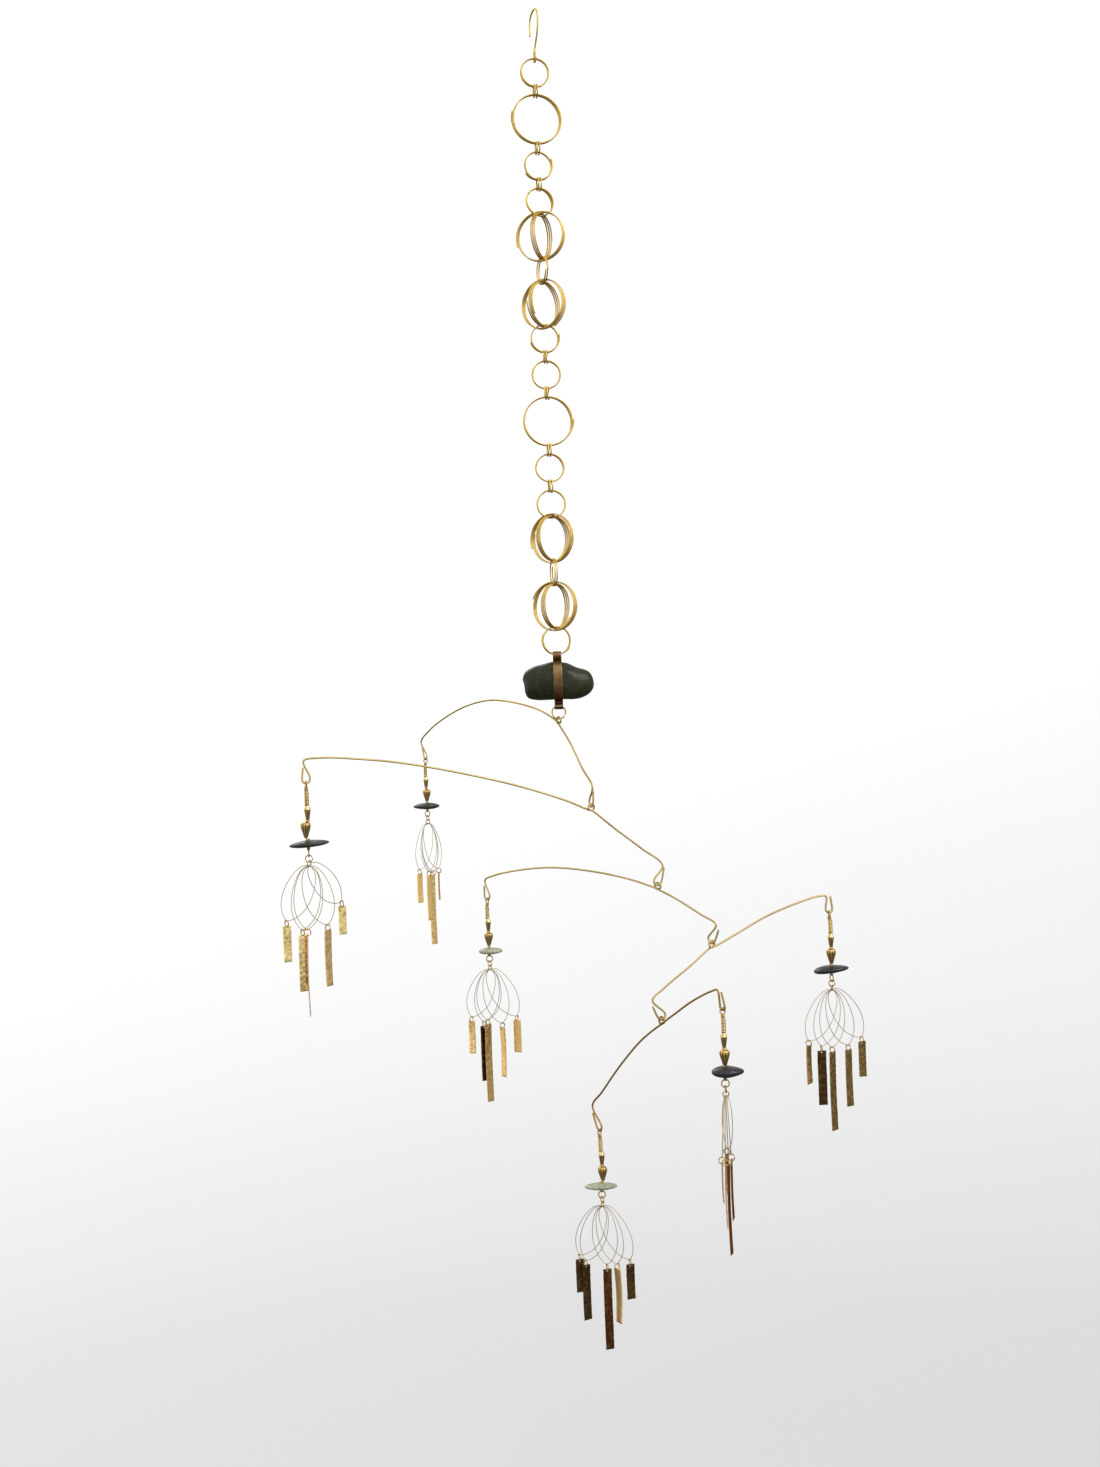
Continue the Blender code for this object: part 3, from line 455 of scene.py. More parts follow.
def stone_finish(name, dark, light, fleck, low, high, scale, amount, rough=0.35, gloss=0.45):
    """Water-worn stone: two mottled tones, small flecks and hairline veins under an uneven polish."""
    mat, tree, shader, vector = new_finish(name, 0.0)
    mottle = grain(tree, vector, scale, 6.0, 0.62, 0.6)
    body = ramp(tree, mottle, ((0.32, dark), (0.68, light)))
    specks = ramp(tree, grain(tree, vector, scale * 9.0, 2.0, 0.5), ((0.6, 0.0), (0.7, amount)))
    veins = grain(tree, place_coordinates(tree, (1.0, 1.0, 3.2)), scale * 0.8, 2.0, 0.5, 2.5)
    off_vein = maths(tree, "ABSOLUTE", maths(tree, "SUBTRACT", veins, 0.5))
    vein = ramp(tree, off_vein, ((0.0, amount), (0.012, 0.0)))
    colour = mixed(tree, vein, mixed(tree, specks, body, fleck), fleck)
    surface(tree, shader, colour, ramp(tree, mottle, ((0.3, low), (0.7, high))))
    shader.inputs["Specular IOR Level"].default_value = gloss
    bump(tree, shader, grain(tree, vector, scale * 5.0, 5.0, 0.65), rough, 0.0003)
    return mat


FINISH = {
    "hook": wire_finish("hook_brass", (0.72, 0.58, 0.2), (0.6, 0.47, 0.15), 0.58, 0.68),
    "chain": wire_finish("chain_brass", (0.75, 0.56, 0.2), (0.54, 0.38, 0.12), 0.48, 0.58),
    "arm": wire_finish("arm_brass", (0.62, 0.47, 0.19), (0.46, 0.33, 0.12), 0.46, 0.56, 35.0),
    "arm_5": wire_finish("arm_5_brass", (0.44, 0.27, 0.08), (0.34, 0.2, 0.06), 0.44, 0.54, 35.0),
    "fine": wire_finish("fine_ring_brass", (0.6, 0.4, 0.13), (0.4, 0.25, 0.08), 0.42, 0.52),
    "hoop": wire_finish("hoop_wire", (0.52, 0.42, 0.27), (0.4, 0.31, 0.18), 0.52, 0.6),
    "coil": bead_finish("coil_brass", (0.7, 0.5, 0.2), (0.16, 0.085, 0.025), 0.24, 0.45),
    "cap": bead_finish("cap_brass", (0.86, 0.66, 0.28), (0.2, 0.11, 0.03), 0.22, 0.4),
    "bead": bead_finish("bead_brass", (0.66, 0.46, 0.15), (0.15, 0.08, 0.02), 0.26, 0.5),
    "cone": bead_finish("cone_brass", (0.52, 0.34, 0.12), (0.11, 0.06, 0.018), 0.28, 0.5),
    "strap": strip_finish(
        "strap_metal", (0.32, 0.21, 0.095), (0.14, 0.07, 0.03), 0.28, 0.42, 120, 0.7, 0.22),
    "pebble": stone_finish(
        "pebble_stone", (0.007, 0.01, 0.005), (0.028, 0.031, 0.011), (0.12, 0.12, 0.07), 0.14, 0.24, 55, 0.2,
        0.06, 0.22),
    "slate_stone": stone_finish(
        "slate_stone", (0.01, 0.011, 0.009), (0.04, 0.042, 0.036), (0.2, 0.21, 0.18), 0.32, 0.46, 160, 0.5),
    "black_stone": stone_finish(
        "black_stone", (0.006, 0.006, 0.006), (0.022, 0.021, 0.023), (0.16, 0.16, 0.16), 0.12, 0.24, 140, 0.4),
    "pale_green_stone": stone_finish(
        "pale_green_stone", (0.17, 0.19, 0.11), (0.4, 0.42, 0.29), (0.66, 0.67, 0.56), 0.42, 0.56, 170, 0.7),
}
for strip, (_, *values) in STRIP_FINISHES.items():
    FINISH[strip] = strip_finish("strip_" + strip, *values)


# ------ mesh helpers

def direction(yaw):
    return Vector((math.cos(math.radians(yaw)), math.sin(math.radians(yaw)), 0.0))


def side_of(yaw):
    return direction(yaw + 90.0)


def arc(middle, radius, start, end, steps):
    """Points (across, up) of an arc about the middle, from one angle to another in degrees."""
    turns = [math.radians(start + (end - start) * k / steps) for k in range(steps + 1)]
    return [(middle[0] + radius * math.cos(turn), middle[1] + radius * math.sin(turn)) for turn in turns]


def smooth_path(points, steps, closed=False):
    """A centripetal Catmull-Rom curve through the points, with that many steps for each span."""
    if closed:
        points = [points[-1], *points, *points[:2]]
    else:
        points = [2 * points[0] - points[1], *points, 2 * points[-1] - points[-2]]
    path = []
    for p in zip(points, points[1:], points[2:], points[3:]):
        knots = [0.0]
        for a, b in zip(p, p[1:]):
            knots.append(knots[-1] + math.sqrt((b - a).length))
        for k in range(steps):
            t = knots[1] + (knots[2] - knots[1]) * k / steps
            row = p
            for order in (1, 2, 3):
                spans = [(knots[1], knots[2])] if order == 3 else list(zip(knots, knots[order:]))
                row = [(a * (v - t) + b * (t - u)) / (v - u) for a, b, (u, v) in zip(row, row[1:], spans)]
            path.append(row[0])
    return path if closed else path + [points[-2]]


def bridge(bm, rings, closed=False):
    """Faces between each ring of points and the next."""
    for a, b in zip(rings, rings[1:] + (rings[:1] if closed else [])):
        for k in range(len(a)):
            n = (k + 1) % len(a)
            bm.faces.new((a[k], a[n], b[n], b[k]))


def cap(bm, rings):
    """Closes the first and last ring of points."""
    bm.faces.new(rings[0][::-1])
    bm.faces.new(rings[-1])


def sweep(bm, path, radius, sides, closed=False, across=None):
    """Sweeps a round wire along the path, with a worn rounding at each cut end. across is the normal of a
    flat path's plane."""
    count = len(path)
    rings = []
    guide = across
    for i, point in enumerate(path):
        before = path[i - 1] if (i or closed) else point
        after = path[(i + 1) % count] if (i + 1 < count or closed) else point
        along = (after - before).normalized()
        if guide is None:
            guide = along.orthogonal()
        first = (guide - along * guide.dot(along)).normalized()
        if across is None:
            guide = first
        second = along.cross(first)
        rows = WORN_END[:1]
        if not closed and i == 0:
            rows = [(-beyond, share) for beyond, share in reversed(WORN_END)]
        elif not closed and i == count - 1:
            rows = WORN_END
        for beyond, share in rows:
            centre = point + beyond * radius * along
            ring = []
            for k in range(sides):
                turn = math.tau * k / sides
                around = math.cos(turn) * first + math.sin(turn) * second
                ring.append(bm.verts.new(centre + share * radius * around))
            rings.append(ring)
    bridge(bm, rings, closed)
    if not closed:
        cap(bm, rings)


def lathe(bm, top, profile, sides, flutes, depth):
    """Turns a profile of (distance below top, radius, fluting share) in millimetres about the upright line
    through top. Its layer of patina and shade holds how deep in a flute each point lies, for patina in the
    flutes."""
    layer = bm.verts.layers.float.new("patina_and_shade")
    rings = []
    for below, radius, share in profile:
        ring = []
        for k in range(sides):
            turn = math.tau * k / sides
            groove = 0.5 - 0.5 * math.cos(flutes * turn) if flutes else 0.0
            size = MM * radius * (1.0 - depth * share * groove ** 2)
            vert = bm.verts.new(top + Vector((size * math.cos(turn), size * math.sin(turn), -below * MM)))
            vert[layer] = groove * share
            ring.append(vert)
        rings.append(ring)
    bridge(bm, rings)
    cap(bm, rings)


def finished_mesh(name, bm, mat):
    mesh = bpy.data.meshes.new(name)
    bm.to_mesh(mesh)
    bm.free()
    mesh.shade_smooth()
    mesh.materials.append(mat)
    return mesh


def add_object(name, data):
    obj = bpy.data.objects.new(name, data)
    bpy.context.scene.collection.objects.link(obj)
    return obj


def piece(name, bm, finish, slot, *nodes, angle=55.0):
    """Adds the mesh as a piece of the object that stands for those CAD nodes."""
    bmesh.ops.recalc_face_normals(bm, faces=bm.faces)
    mesh = finished_mesh(name, bm, FINISH[finish])
    mesh.set_sharp_from_angle(angle=math.radians(angle))
    obj = add_object(name, mesh)
    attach(obj, "root")
    if nodes:
        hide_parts(*nodes)


def wire_piece(name, path, wire, sides, finish, slot, *nodes, closed=False, across=None):
    """A piece of round wire along the path."""
    bm = bmesh.new()
    sweep(bm, path, 0.5 * wire, sides, closed, across)
    piece(name, bm, finish, slot, *nodes)


def ring_piece(name, centre, radius, yaw, wire, cut, lift, points, sides, slot, *nodes):
    """One ring of round wire, cut open at that angle. Its two ends are a hair apart and lift to each side."""
    out, aside = direction(yaw), side_of(yaw)
    slit = 0.55 * wire / radius
    path = []
    for k in range(points + 1):
        share = k / points
        turn = math.radians(cut) + slit + (math.tau - 2 * slit) * share
        spot = centre + radius * (math.sin(turn) * out + math.cos(turn) * UP)
        path.append(spot + (2 * share - 1) * lift * aside)
    wire_piece(name, path, wire, sides, "fine", slot, *nodes, across=aside)


# ------ hook and chain

def make_hook():
    """Hanging hook: open crook, bent shank and a closed narrow eye."""
    out = direction(HOOK_HEADING)
    line = CROOK_INNER + 0.5 * HOOK_WIRE
    flat = [(line - 0.3 * MM, -CROOK_INNER - HOOK_TIP_DROP), (line, -CROOK_INNER - 0.4 * HOOK_TIP_DROP)]
    flat += arc((0.0, -CROOK_INNER), line, 0.0, 180.0, 12)
    flat += [(u * MM, z * MM) for u, z in HOOK_SHANK]
    flat += arc((0.0, -EYE_DROP), EYE_RADIUS, 6.0, -184.0, 10)
    flat.append((EYE_END[0] * MM, EYE_END[1] * MM))
    points = []
    # The lean grows over the tip and half the crook, and goes again from the shank's foot to the eye's end
    for k, (u, z) in enumerate(flat):
        lean = HOOK_LEAN * min(1.0, k / 9) * min(1.0, 1.0 - 0.08 * max(0, k - 17))
        points.append(u * out + z * UP - lean * side_of(HOOK_HEADING))
    wire_piece("hanging_hook_wire", smooth_path(points, 5), HOOK_WIRE, 12, "hook", "hook_brass",
               "hanging_hook", across=side_of(HOOK_HEADING))


def make_wound_ring(node, yaw, cut):
    """A chain ring: flat turns of round wire side by side, each stepping over to the next. The turns stray
    apart at the ring's sides and lie close where the next ring bears."""
    low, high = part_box(node)
    out, aside = direction(yaw), side_of(yaw)
    centre = Vector((0.0, 0.0, 0.5 * (low.z + high.z)))
    radius = 0.5 * (high.z - low.z - CHAIN_WIRE)
    turns, pitch, stray = WINDINGS[node.split("_")[1]]
    near = -math.copysign(1.0, aside.y)
    drift = near * stray * MM * Vector((0.87 * math.copysign(1.0, near * aside.x), 0.0, 0.5))
    last = math.ceil(turns) - 1
    steps = int(turns * (72 if radius > 15 * MM else 48))
    path = []
    for k in range(steps + 1):
        done = min(turns * k / steps, turns - 1e-6)
        angle = math.radians(cut) + math.tau * done
        over = max(0.0, done % 1.0 - 1 + STEP_OVER) / STEP_OVER
        row = min(last, int(done) + over * over * (3 - 2 * over)) - 0.5 * last
        side = math.sin(angle)
        spread = abs(side) if side > 0 else 0.6 * abs(side)
        loose = 0.5 * CHAIN_WIRE * max(0.0, 1 - 6 * done, 6 * (done - turns) + 1) ** 2
        spot = centre + (radius + loose) * (side * out + math.cos(angle) * UP)
        path.append(spot + pitch * MM * row * aside + 2 * row / last * spread * drift)
    wire_piece(node + "_wire", path, CHAIN_WIRE, 12, "chain", "chain_brass", node, across=aside)


# ------ strapped pebble

def dense_profile(profile):
    """A profile's points joined by a smooth curve, in metres."""
    return smooth_path([Vector((x * MM, z * MM)) for x, z in profile], 8)


def level_at(profile, x):
    """Height of a dense profile at x."""
    for a, b in zip(profile, profile[1:]):
        if x <= b.x:
            return a.y + (b.y - a.y) * max(0.0, x - a.x) / max(1e-9, b.x - a.x)
    return profile[-1].y


TOP_LINE, BOTTOM_LINE = dense_profile(PEBBLE_TOP), dense_profile(PEBBLE_BOTTOM)


def pebble_point(x, turn, grow=0.0):
    """A point (y, z) of the pebble's cross-section at x, from its middle. grow moves it outward."""
    low, high = PEBBLE_ENDS
    across = 2 * (x - low) / (high - low) - 1
    depth = PEBBLE_HALF_DEPTH * (1 - abs(across) ** PEBBLE_ROUND) ** (1 / PEBBLE_ROUND) + grow
    top, bottom = level_at(TOP_LINE, x), level_at(BOTTOM_LINE, x)
    s, c = math.sin(turn), math.cos(turn)
    size = (abs(s) ** PEBBLE_ROUND + abs(c) ** PEBBLE_ROUND) ** (-1 / PEBBLE_ROUND)
    return depth * s * size, 0.5 * (top + bottom) + (0.5 * (top - bottom) + grow) * c * size


def make_pebble(middle):
    """The pebble: smooth cross-sections with broad water-worn unevenness."""
    stations, sides = 72, 56
    low, high = PEBBLE_ENDS
    bm = bmesh.new()
    rings = []
    for i in range(1, stations):
        x = 0.5 * (low + high) - 0.5 * (high - low) * math.cos(math.pi * i / stations)
        ring = []
        for k in range(sides):
            y, z = pebble_point(x, math.tau * k / sides)
            spot = Vector((x, y, z))
            push = PEBBLE_WAVES * noise.noise(spot * 90.0) + PEBBLE_GRAIN * noise.noise(spot * 420.0)
            spot += push * spot.normalized()
            ring.append(bm.verts.new(spot + middle * UP))
        rings.append(ring)
    bridge(bm, rings)
    for ring in (rings[0], rings[-1]):
        tip = bm.verts.new(sum((v.co for v in ring), Vector()) / sides)
        for k in range(sides):
            bm.faces.new((ring[k], ring[(k + 1) % sides], tip))
    piece("dark_pebble", bm, "pebble", "dark_pebble", "pebble", angle=80.0)


def make_strap(upper, middle, lower):
    """The strap: one strip folded round the pebble, crimped at both necks and rolled over at both ends."""
    half = 0.5 * STRAP_THICK
    neck = half + 0.5 * GAP
    creases = (upper - UPPER_ROLL - CREASE_BEYOND_ROLL, lower + LOWER_ROLL + CREASE_BEYOND_ROLL)
    side = arc((0.0, upper), UPPER_ROLL + half, 90.0, -50.0, 8)
    side.append((neck, creases[0]))
    for k in range(1, 24):
        y, z = pebble_point(0.0, math.pi * k / 24, 1.5 * GAP + half)
        side.append((y, middle + z))
    side.append((neck, creases[1]))
    side += arc((0.0, lower), LOWER_ROLL + half, 50.0, -90.0, 8)
    closed = side + [(-y, z) for y, z in reversed(side[1:-1])]
    line = smooth_path([Vector(spot) for spot in closed], 3, True)
    columns = 12
    crest = upper + UPPER_ROLL
    bright = (crest, lower + 0.4 * LOWER_ROLL)
    bm = bmesh.new()
    patina_and_shade = bm.verts.layers.float.new("patina_and_shade")
    rim = bm.verts.layers.float.new("rim")
    rings = []
    for i, spot in enumerate(line):
        run = (line[(i + 1) % len(line)] - line[i - 1]).normalized()
        square = Vector((run.y, -run.x))
        ring = []
        for sign in (1, -1):
            for k in range(columns + 1):
                share = 2 * k / columns - 1
                x = 0.5 * STRAP_WIDE * share * sign
                edge = abs(share) ** 6
                wave = 0.1 * MM * noise.noise(Vector((x * 260, spot.x * 260, spot.y * 260)))
                lift = sign * half * (1 - 0.45 * edge) + wave
                wide = 1.0 + 0.02 * noise.noise(Vector((sign * 3.0, spot.x * 150, spot.y * 150)))
                vert = bm.verts.new((x * wide, spot.x + lift * square.x, spot.y + lift * square.y))
                vert[rim] = max(edge, 1.0 - min(abs(spot.y - level) for level in bright) / WORN_BAND_HALF)
                # Painted shade: darker along the creases by the necks and towards the strap's foot
                crease_shade = max(0.0, 1.0 - min(abs(spot.y - level) for level in creases) / CREASE_SHADE_HALF)
                fall = (crest - spot.y) / (crest - lower)
                vert[patina_and_shade] = 0.1 + 2.0 * wave / MM + 0.5 * crease_shade + 0.8 * fall
                ring.append(vert)
        rings.append(ring)
    bridge(bm, rings, True)
    piece("folded_strap", bm, "strap", "strap_brass", "pebble_strap")


def make_strapped_pebble():
    """Pebble, strap and the ring below it. Returns the ring's bearing height."""
    low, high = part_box("pebble_strap")
    upper = high.z - UPPER_ROLL - STRAP_THICK
    lower = low.z + LOWER_ROLL + STRAP_THICK
    middle = upper - UPPER_ROLL - UPPER_NECK - level_at(TOP_LINE, 0.0)
    make_pebble(middle)
    make_strap(upper, middle, lower)
    low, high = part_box("strap_ring")
    centre = 0.5 * (low + high)
    inset = 0.5 * STRAP_RING_WIRE / math.sqrt(2.0)  # reach of the solid's four-sided wire beyond its line
    radius = 0.5 * (high.z - low.z) - inset
    ring_piece("strap_ring_wire", centre, radius, STRAP_RING_YAW, STRAP_RING_WIRE, 118.0, 0.1 * MM, 56, 12,
               "hook_brass", "strap_ring")
    return centre.z - radius + 0.5 * STRAP_RING_WIRE


# ------ arms

def hook_flat(end):
    """Points (out, up) of one end of an arm in millimetres, from the loop out to the free tip."""
    (reach, height), tip, corner, bends = end
    bowl = arc((0.0, HOOK_BEND - HOOK_BELOW), HOOK_BEND, 215.0, 325.0, 2)
    hook = [corner, (-HOOK_BEND, HOOK_SIDE), *bowl, tip]
    return list(bends) + [(reach + out, height + up) for out, up in hook]


def make_arm(name, heading, long, short, bearing):
    """One wire arm. Returns the bearing points of its long and its short end."""
    out, aside = direction(heading), side_of(heading)

    def place(flat, sign):
        return bearing + MM * (sign * flat[0] * out + flat[1] * UP)

    points = [place(p, 1) for p in hook_flat(long)][::-1]
    centre = -(LOOP_RADIUS - 0.5 * ARM_WIRE)
    for k, (across, up) in enumerate(arc((0.0, centre), LOOP_RADIUS, -90.0, -450.0, 16)):
        points.append(bearing + across * out + up * UP + LOOP_ASIDE * (k - 8) / 8 * aside)
    points += [place(p, -1) for p in hook_flat(short)]
    finish = name if name in FINISH else "arm"
    wire_piece(name + "_wire", smooth_path(points, 7), ARM_WIRE, 12, finish, "arm_brass", name, across=aside)
    return place(long[0], 1), place(short[0], -1)


# ------ pendants

def helix(centre, radius, start, end, turns, phase):
    """Points of an upright helix from start to end below centre."""
    count = int(turns * HELIX_STEPS)
    path = []
    for k in range(count + 1):
        share = k / count
        angle = phase + math.tau * turns * share
        fall = start + (end - start) * share
        path.append(centre + radius * Vector((math.cos(angle), math.sin(angle), 0.0)) - fall * UP)
    return path


def make_stem(name, top, yaw, loop_yaw, thick, sway):
    """Wire eye, wound coil, beads and lower loop. Returns the loop's bearing point."""
    out, aside = direction(yaw), side_of(yaw)
    wire = 0.5 * EYE_WIRE
    coil_axis, cone_axis, drop_axis = (top + Vector((shift * MM, 0.0, 0.0)) for shift in sway)
    eye = top - (STEM_EYE * STEM_EYE_STRETCH - wire) * UP
    pin_end = STONE_CENTRE + 0.5 * thick + PIN_BELOW_STONE
    loop = top - (pin_end + LOWER_LOOP - 0.2 * MM) * UP

    # One wire: wrapped below the eye, round the eye, down through the beads and wrapped below the stone
    path = helix(top, 2.1 * wire, 5.4 * MM, 3.9 * MM, 2.2, math.radians(yaw) + 0.4)
    path.append(eye - STEM_EYE * 0.35 * out - STEM_EYE * STEM_EYE_STRETCH * 0.86 * UP)
    for k, (across, up) in enumerate(arc((0.0, 0.0), STEM_EYE, 225.0, -45.0, 12)):
        path.append(eye + across * out + STEM_EYE_STRETCH * up * UP + 0.3 * wire * (k / 6 - 1) * aside)
    for axis, fall in (top, 4.2), (coil_axis, 12.0), (cone_axis, 23.0), (drop_axis, 33.0), (drop_axis, 38.0):
        path.append(axis - fall * MM * UP)
    path += [top - STONE_CENTRE * UP, top - (pin_end - 1.6 * MM) * UP]
    path += helix(top, 0.75 * MM, pin_end - 1.3 * MM, pin_end + 0.2 * MM, 1.8, 0.4)
    wire_piece(name + "_eye_wire", smooth_path(path, 3), EYE_WIRE, 10, "fine", "stem_brass", name + "_stem")
    ring_piece(name + "_lower_loop", loop, LOWER_LOOP, loop_yaw, EYE_WIRE, 12.0, 0.12 * MM, 48, 10,
               "stem_brass")

    bm = bmesh.new()
    coil = helix(coil_axis, COIL_RADIUS, *COIL_SPAN, COIL_TURNS, 0.9)
    sweep(bm, coil, 0.5 * COIL_WIRE, 8, across=UP)
    patina_and_shade = bm.verts.layers.float.new("patina_and_shade")
    for vert in bm.verts:
        reach = math.hypot(vert.co.x - coil_axis.x, vert.co.y - coil_axis.y)
        vert[patina_and_shade] = max(0.0, min(1.0, (1.46 * MM - reach) / (0.34 * MM)))
    piece(name + "_coil", bm, "coil", "stem_brass")

    face = (STONE_CENTRE - 0.44 * thick) / MM
    spacer = ("stone", "coil", 32, 0, 0.0,
              ((face - 1.3, 0.7, 0), (face - 1.2, 1.1, 0), (face - 0.6, 1.25, 0), (face + 0.1, 1.1, 0),
               (face + 0.2, 0.7, 0)))
    axes = {"cone": cone_axis, "drop": drop_axis, "stone": top}
    for bead, (axis, finish, sides, flutes, depth, profile) in (*BEADS.items(), ("spacer", spacer)):
        bm = bmesh.new()
        lathe(bm, axes[axis], profile, sides, flutes, depth)
        piece(f"{name}_{bead}", bm, finish, "stem_brass")
    return loop - (LOWER_LOOP - wire) * UP


def make_stone(name, letter, top, measures):
    """A drilled flat pebble threaded on the pin: an uneven oval worn thin at its rim."""
    *sizes, tilt = measures
    length, breadth, thick, aside = (size * MM for size in sizes)
    ends, points, droop, rim, rough, finish = STONES[letter]
    bore = 0.75 * MM
    slope = math.tan(math.radians(tilt))
    around, over = 72, 28
    seed = Vector((7.0 * ord(letter), 0.0, 0.0))
    centre = top - STONE_CENTRE * UP
    bm = bmesh.new()
    rings = []
    for i in range(over + 1):
        rise = math.pi * (i / over - 0.5)
        share = math.cos(rise) ** rim
        height = math.copysign(abs(math.sin(rise)) ** 0.9, rise)
        ring = []
        for k in range(around):
            turn = math.tau * k / around
            c, s = math.cos(turn), math.sin(turn)
            end = int(c >= 0)
            narrow = 1.0 - points[end] * 0.45 * c * c
            x = c * (bore + share * (0.5 * length - bore))
            y = s * narrow * (bore + share * (0.5 * breadth - bore))
            reach = min(1.0, abs(x) / (0.5 * length))
            full = 1.0 + (ends[end] - 1.0) * reach
            z = 0.45 * thick * height * full + slope * x
            if c < 0:
                z -= droop * MM * reach * reach
            spot = Vector((x + share * aside, y, z))
            keep = min(1.0, 1.4 * share)
            push = noise.noise(spot * 160.0 + seed) + 0.4 * noise.noise(spot * 420.0 + seed)
            away = spot.normalized() + 0.6 * math.copysign(1.0, rise) * UP * (1 - share)
            spot += keep * rough * MM * push * away
            ring.append(bm.verts.new(centre + spot))
        rings.append(ring)
    bridge(bm, rings, True)
    piece(name + "_pebble", bm, finish, finish, name + "_stone", angle=70.0)


def make_link(name, bearing, yaw):
    """The plain ring between the stem's loop and the gather ring. Returns its bearing point."""
    wire = 0.5 * FINE_RING_WIRE
    centre = bearing - (LINK_RADIUS - wire - GAP) * UP
    ring_piece(name + "_link_wire", centre, LINK_RADIUS, yaw, FINE_RING_WIRE, 70.0, 0.08 * MM, 44, 10,
               "chain_brass", name + "_link")
    return centre - (LINK_RADIUS - wire) * UP


def hoop_line(gather, fan, turned, order, swing, reach):
    """Centre line of one hoop, from its foot round to its foot again. It is drawn to a point at the foot."""
    aside = side_of(fan)
    out = direction(fan + turned)
    lean = math.radians(swing)
    down = math.sin(lean) * out - math.cos(lean) * UP
    sideways = math.cos(lean) * out + math.sin(lean) * UP
    step = order * HOOP_STEP
    hang = gather + step * aside - math.sqrt(GATHER_RADIUS ** 2 - step ** 2) * UP
    outline = [(fall, -wide) for fall, wide in reversed(HOOP_SHAPE)] + list(HOOP_SHAPE[1:])
    points = []
    for fall, wide in outline:
        point = hang + reach * fall * down + 0.5 * HOOP_WIDE * wide * sideways
        points.append(point + order * HOOP_LEAN * fall * aside)
    return smooth_path(points, 4)[:-1]


def hammered(spot, depth):
    """Height of a hammered surface at a point, and how far into a dent it is (0 to 1)."""
    distance = noise.voronoi(spot / HAMMER_CELL)[0][0]
    return depth * (min(1.0, distance) ** 2 - 0.3), 1.0 - min(1.0, 1.4 * distance)


def make_strip(name, top, yaw, length, finish, bow, twist, seed):
    """A hammered metal strip with a punched hole, wavy edges, a slight bow and a slight twist."""
    columns = STRIP_COLUMNS
    cell = STRIP_WIDE / columns
    near = [k * cell for k in range(9)]
    rest = int((length - near[-1]) / STRIP_ROW)
    rows = near + [near[-1] + (length - near[-1]) * k / rest for k in range(1, rest + 1)]
    half = 0.5 * STRIP_THICK
    depth = BRIGHT_HAMMER_DEPTH if finish == "gold" else HAMMER_DEPTH
    bm = bmesh.new()
    patina_and_shade = bm.verts.layers.float.new("patina_and_shade")
    rim = bm.verts.layers.float.new("rim")
    origin = Vector((31.7 * seed, 0.0, 0.0))
    grid = {}
    for j, down in enumerate(rows):
        share = down / length
        angle = yaw + twist * share
        out, aside = direction(angle), side_of(angle)
        middle = top - down * UP + bow * MM * math.sin(math.pi * share) * aside
        middle += STRIP_STRAY * noise.noise(origin + Vector((0.0, 5.0, down * 60.0))) * out * share
        for i in range(columns + 1):
            across = (i / columns - 0.5) * STRIP_WIDE
            drop = 0.0
            from_hole = max(abs(j - HOLE_ROW), abs(i - columns // 2))
            if from_hole < 2:
                continue
            if from_hole == 2:
                away = Vector((across, down - rows[HOLE_ROW])).normalized() * HOLE_RADIUS
                across, drop = away.x, rows[HOLE_ROW] + away.y - down
            edge = abs(2 * i / columns - 1) ** 8
            lip = max(edge, 1 - min(1.0, down / STRIP_RIM, (length - down) / STRIP_RIM))
            side = math.copysign(1.0, across)
            wave = STRIP_WAVES * edge * side * noise.noise(origin + Vector((side, 0.0, down * 420.0)))
            slant = 0.05 * across * noise.noise(origin) * (share > 0.98) * 4.0
            base = middle + (across + wave) * out - (drop + slant) * UP
            for face in (1, -1):
                height, dent = hammered(origin + Vector((across, 0.01 * face, down)), depth)
                lift = face * (half * (1 - 0.4 * lip) + height)
                vert = bm.verts.new(base + lift * aside)
                # Patina in the dents, plus painted shading along the strip, darker or lighter towards its foot
                # as listed
                vert[patina_and_shade] = dent + STRIP_PAINTED_SHADING.get(name, 0.0) * (share - 0.3)
                vert[rim] = lip
                grid[i, j, face] = vert
    for j in range(len(rows) - 1):
        for i in range(columns):
            corners = ((i, j), (i + 1, j), (i + 1, j + 1), (i, j + 1))
            if all((*corner, 1) in grid for corner in corners):
                bm.faces.new([grid[*corner, 1] for corner in corners])
                bm.faces.new([grid[*corner, -1] for corner in reversed(corners)])
    behind = {vert: grid[i, j, -1] for (i, j, face), vert in grid.items() if face == 1}
    for a, b in [tuple(edge.verts) for edge in bm.edges if len(edge.link_faces) == 1]:
        if a in behind and b in behind:
            bm.faces.new((a, b, behind[b], behind[a]))
    piece(name, bm, finish, STRIP_FINISHES[finish][0], angle=62.0)


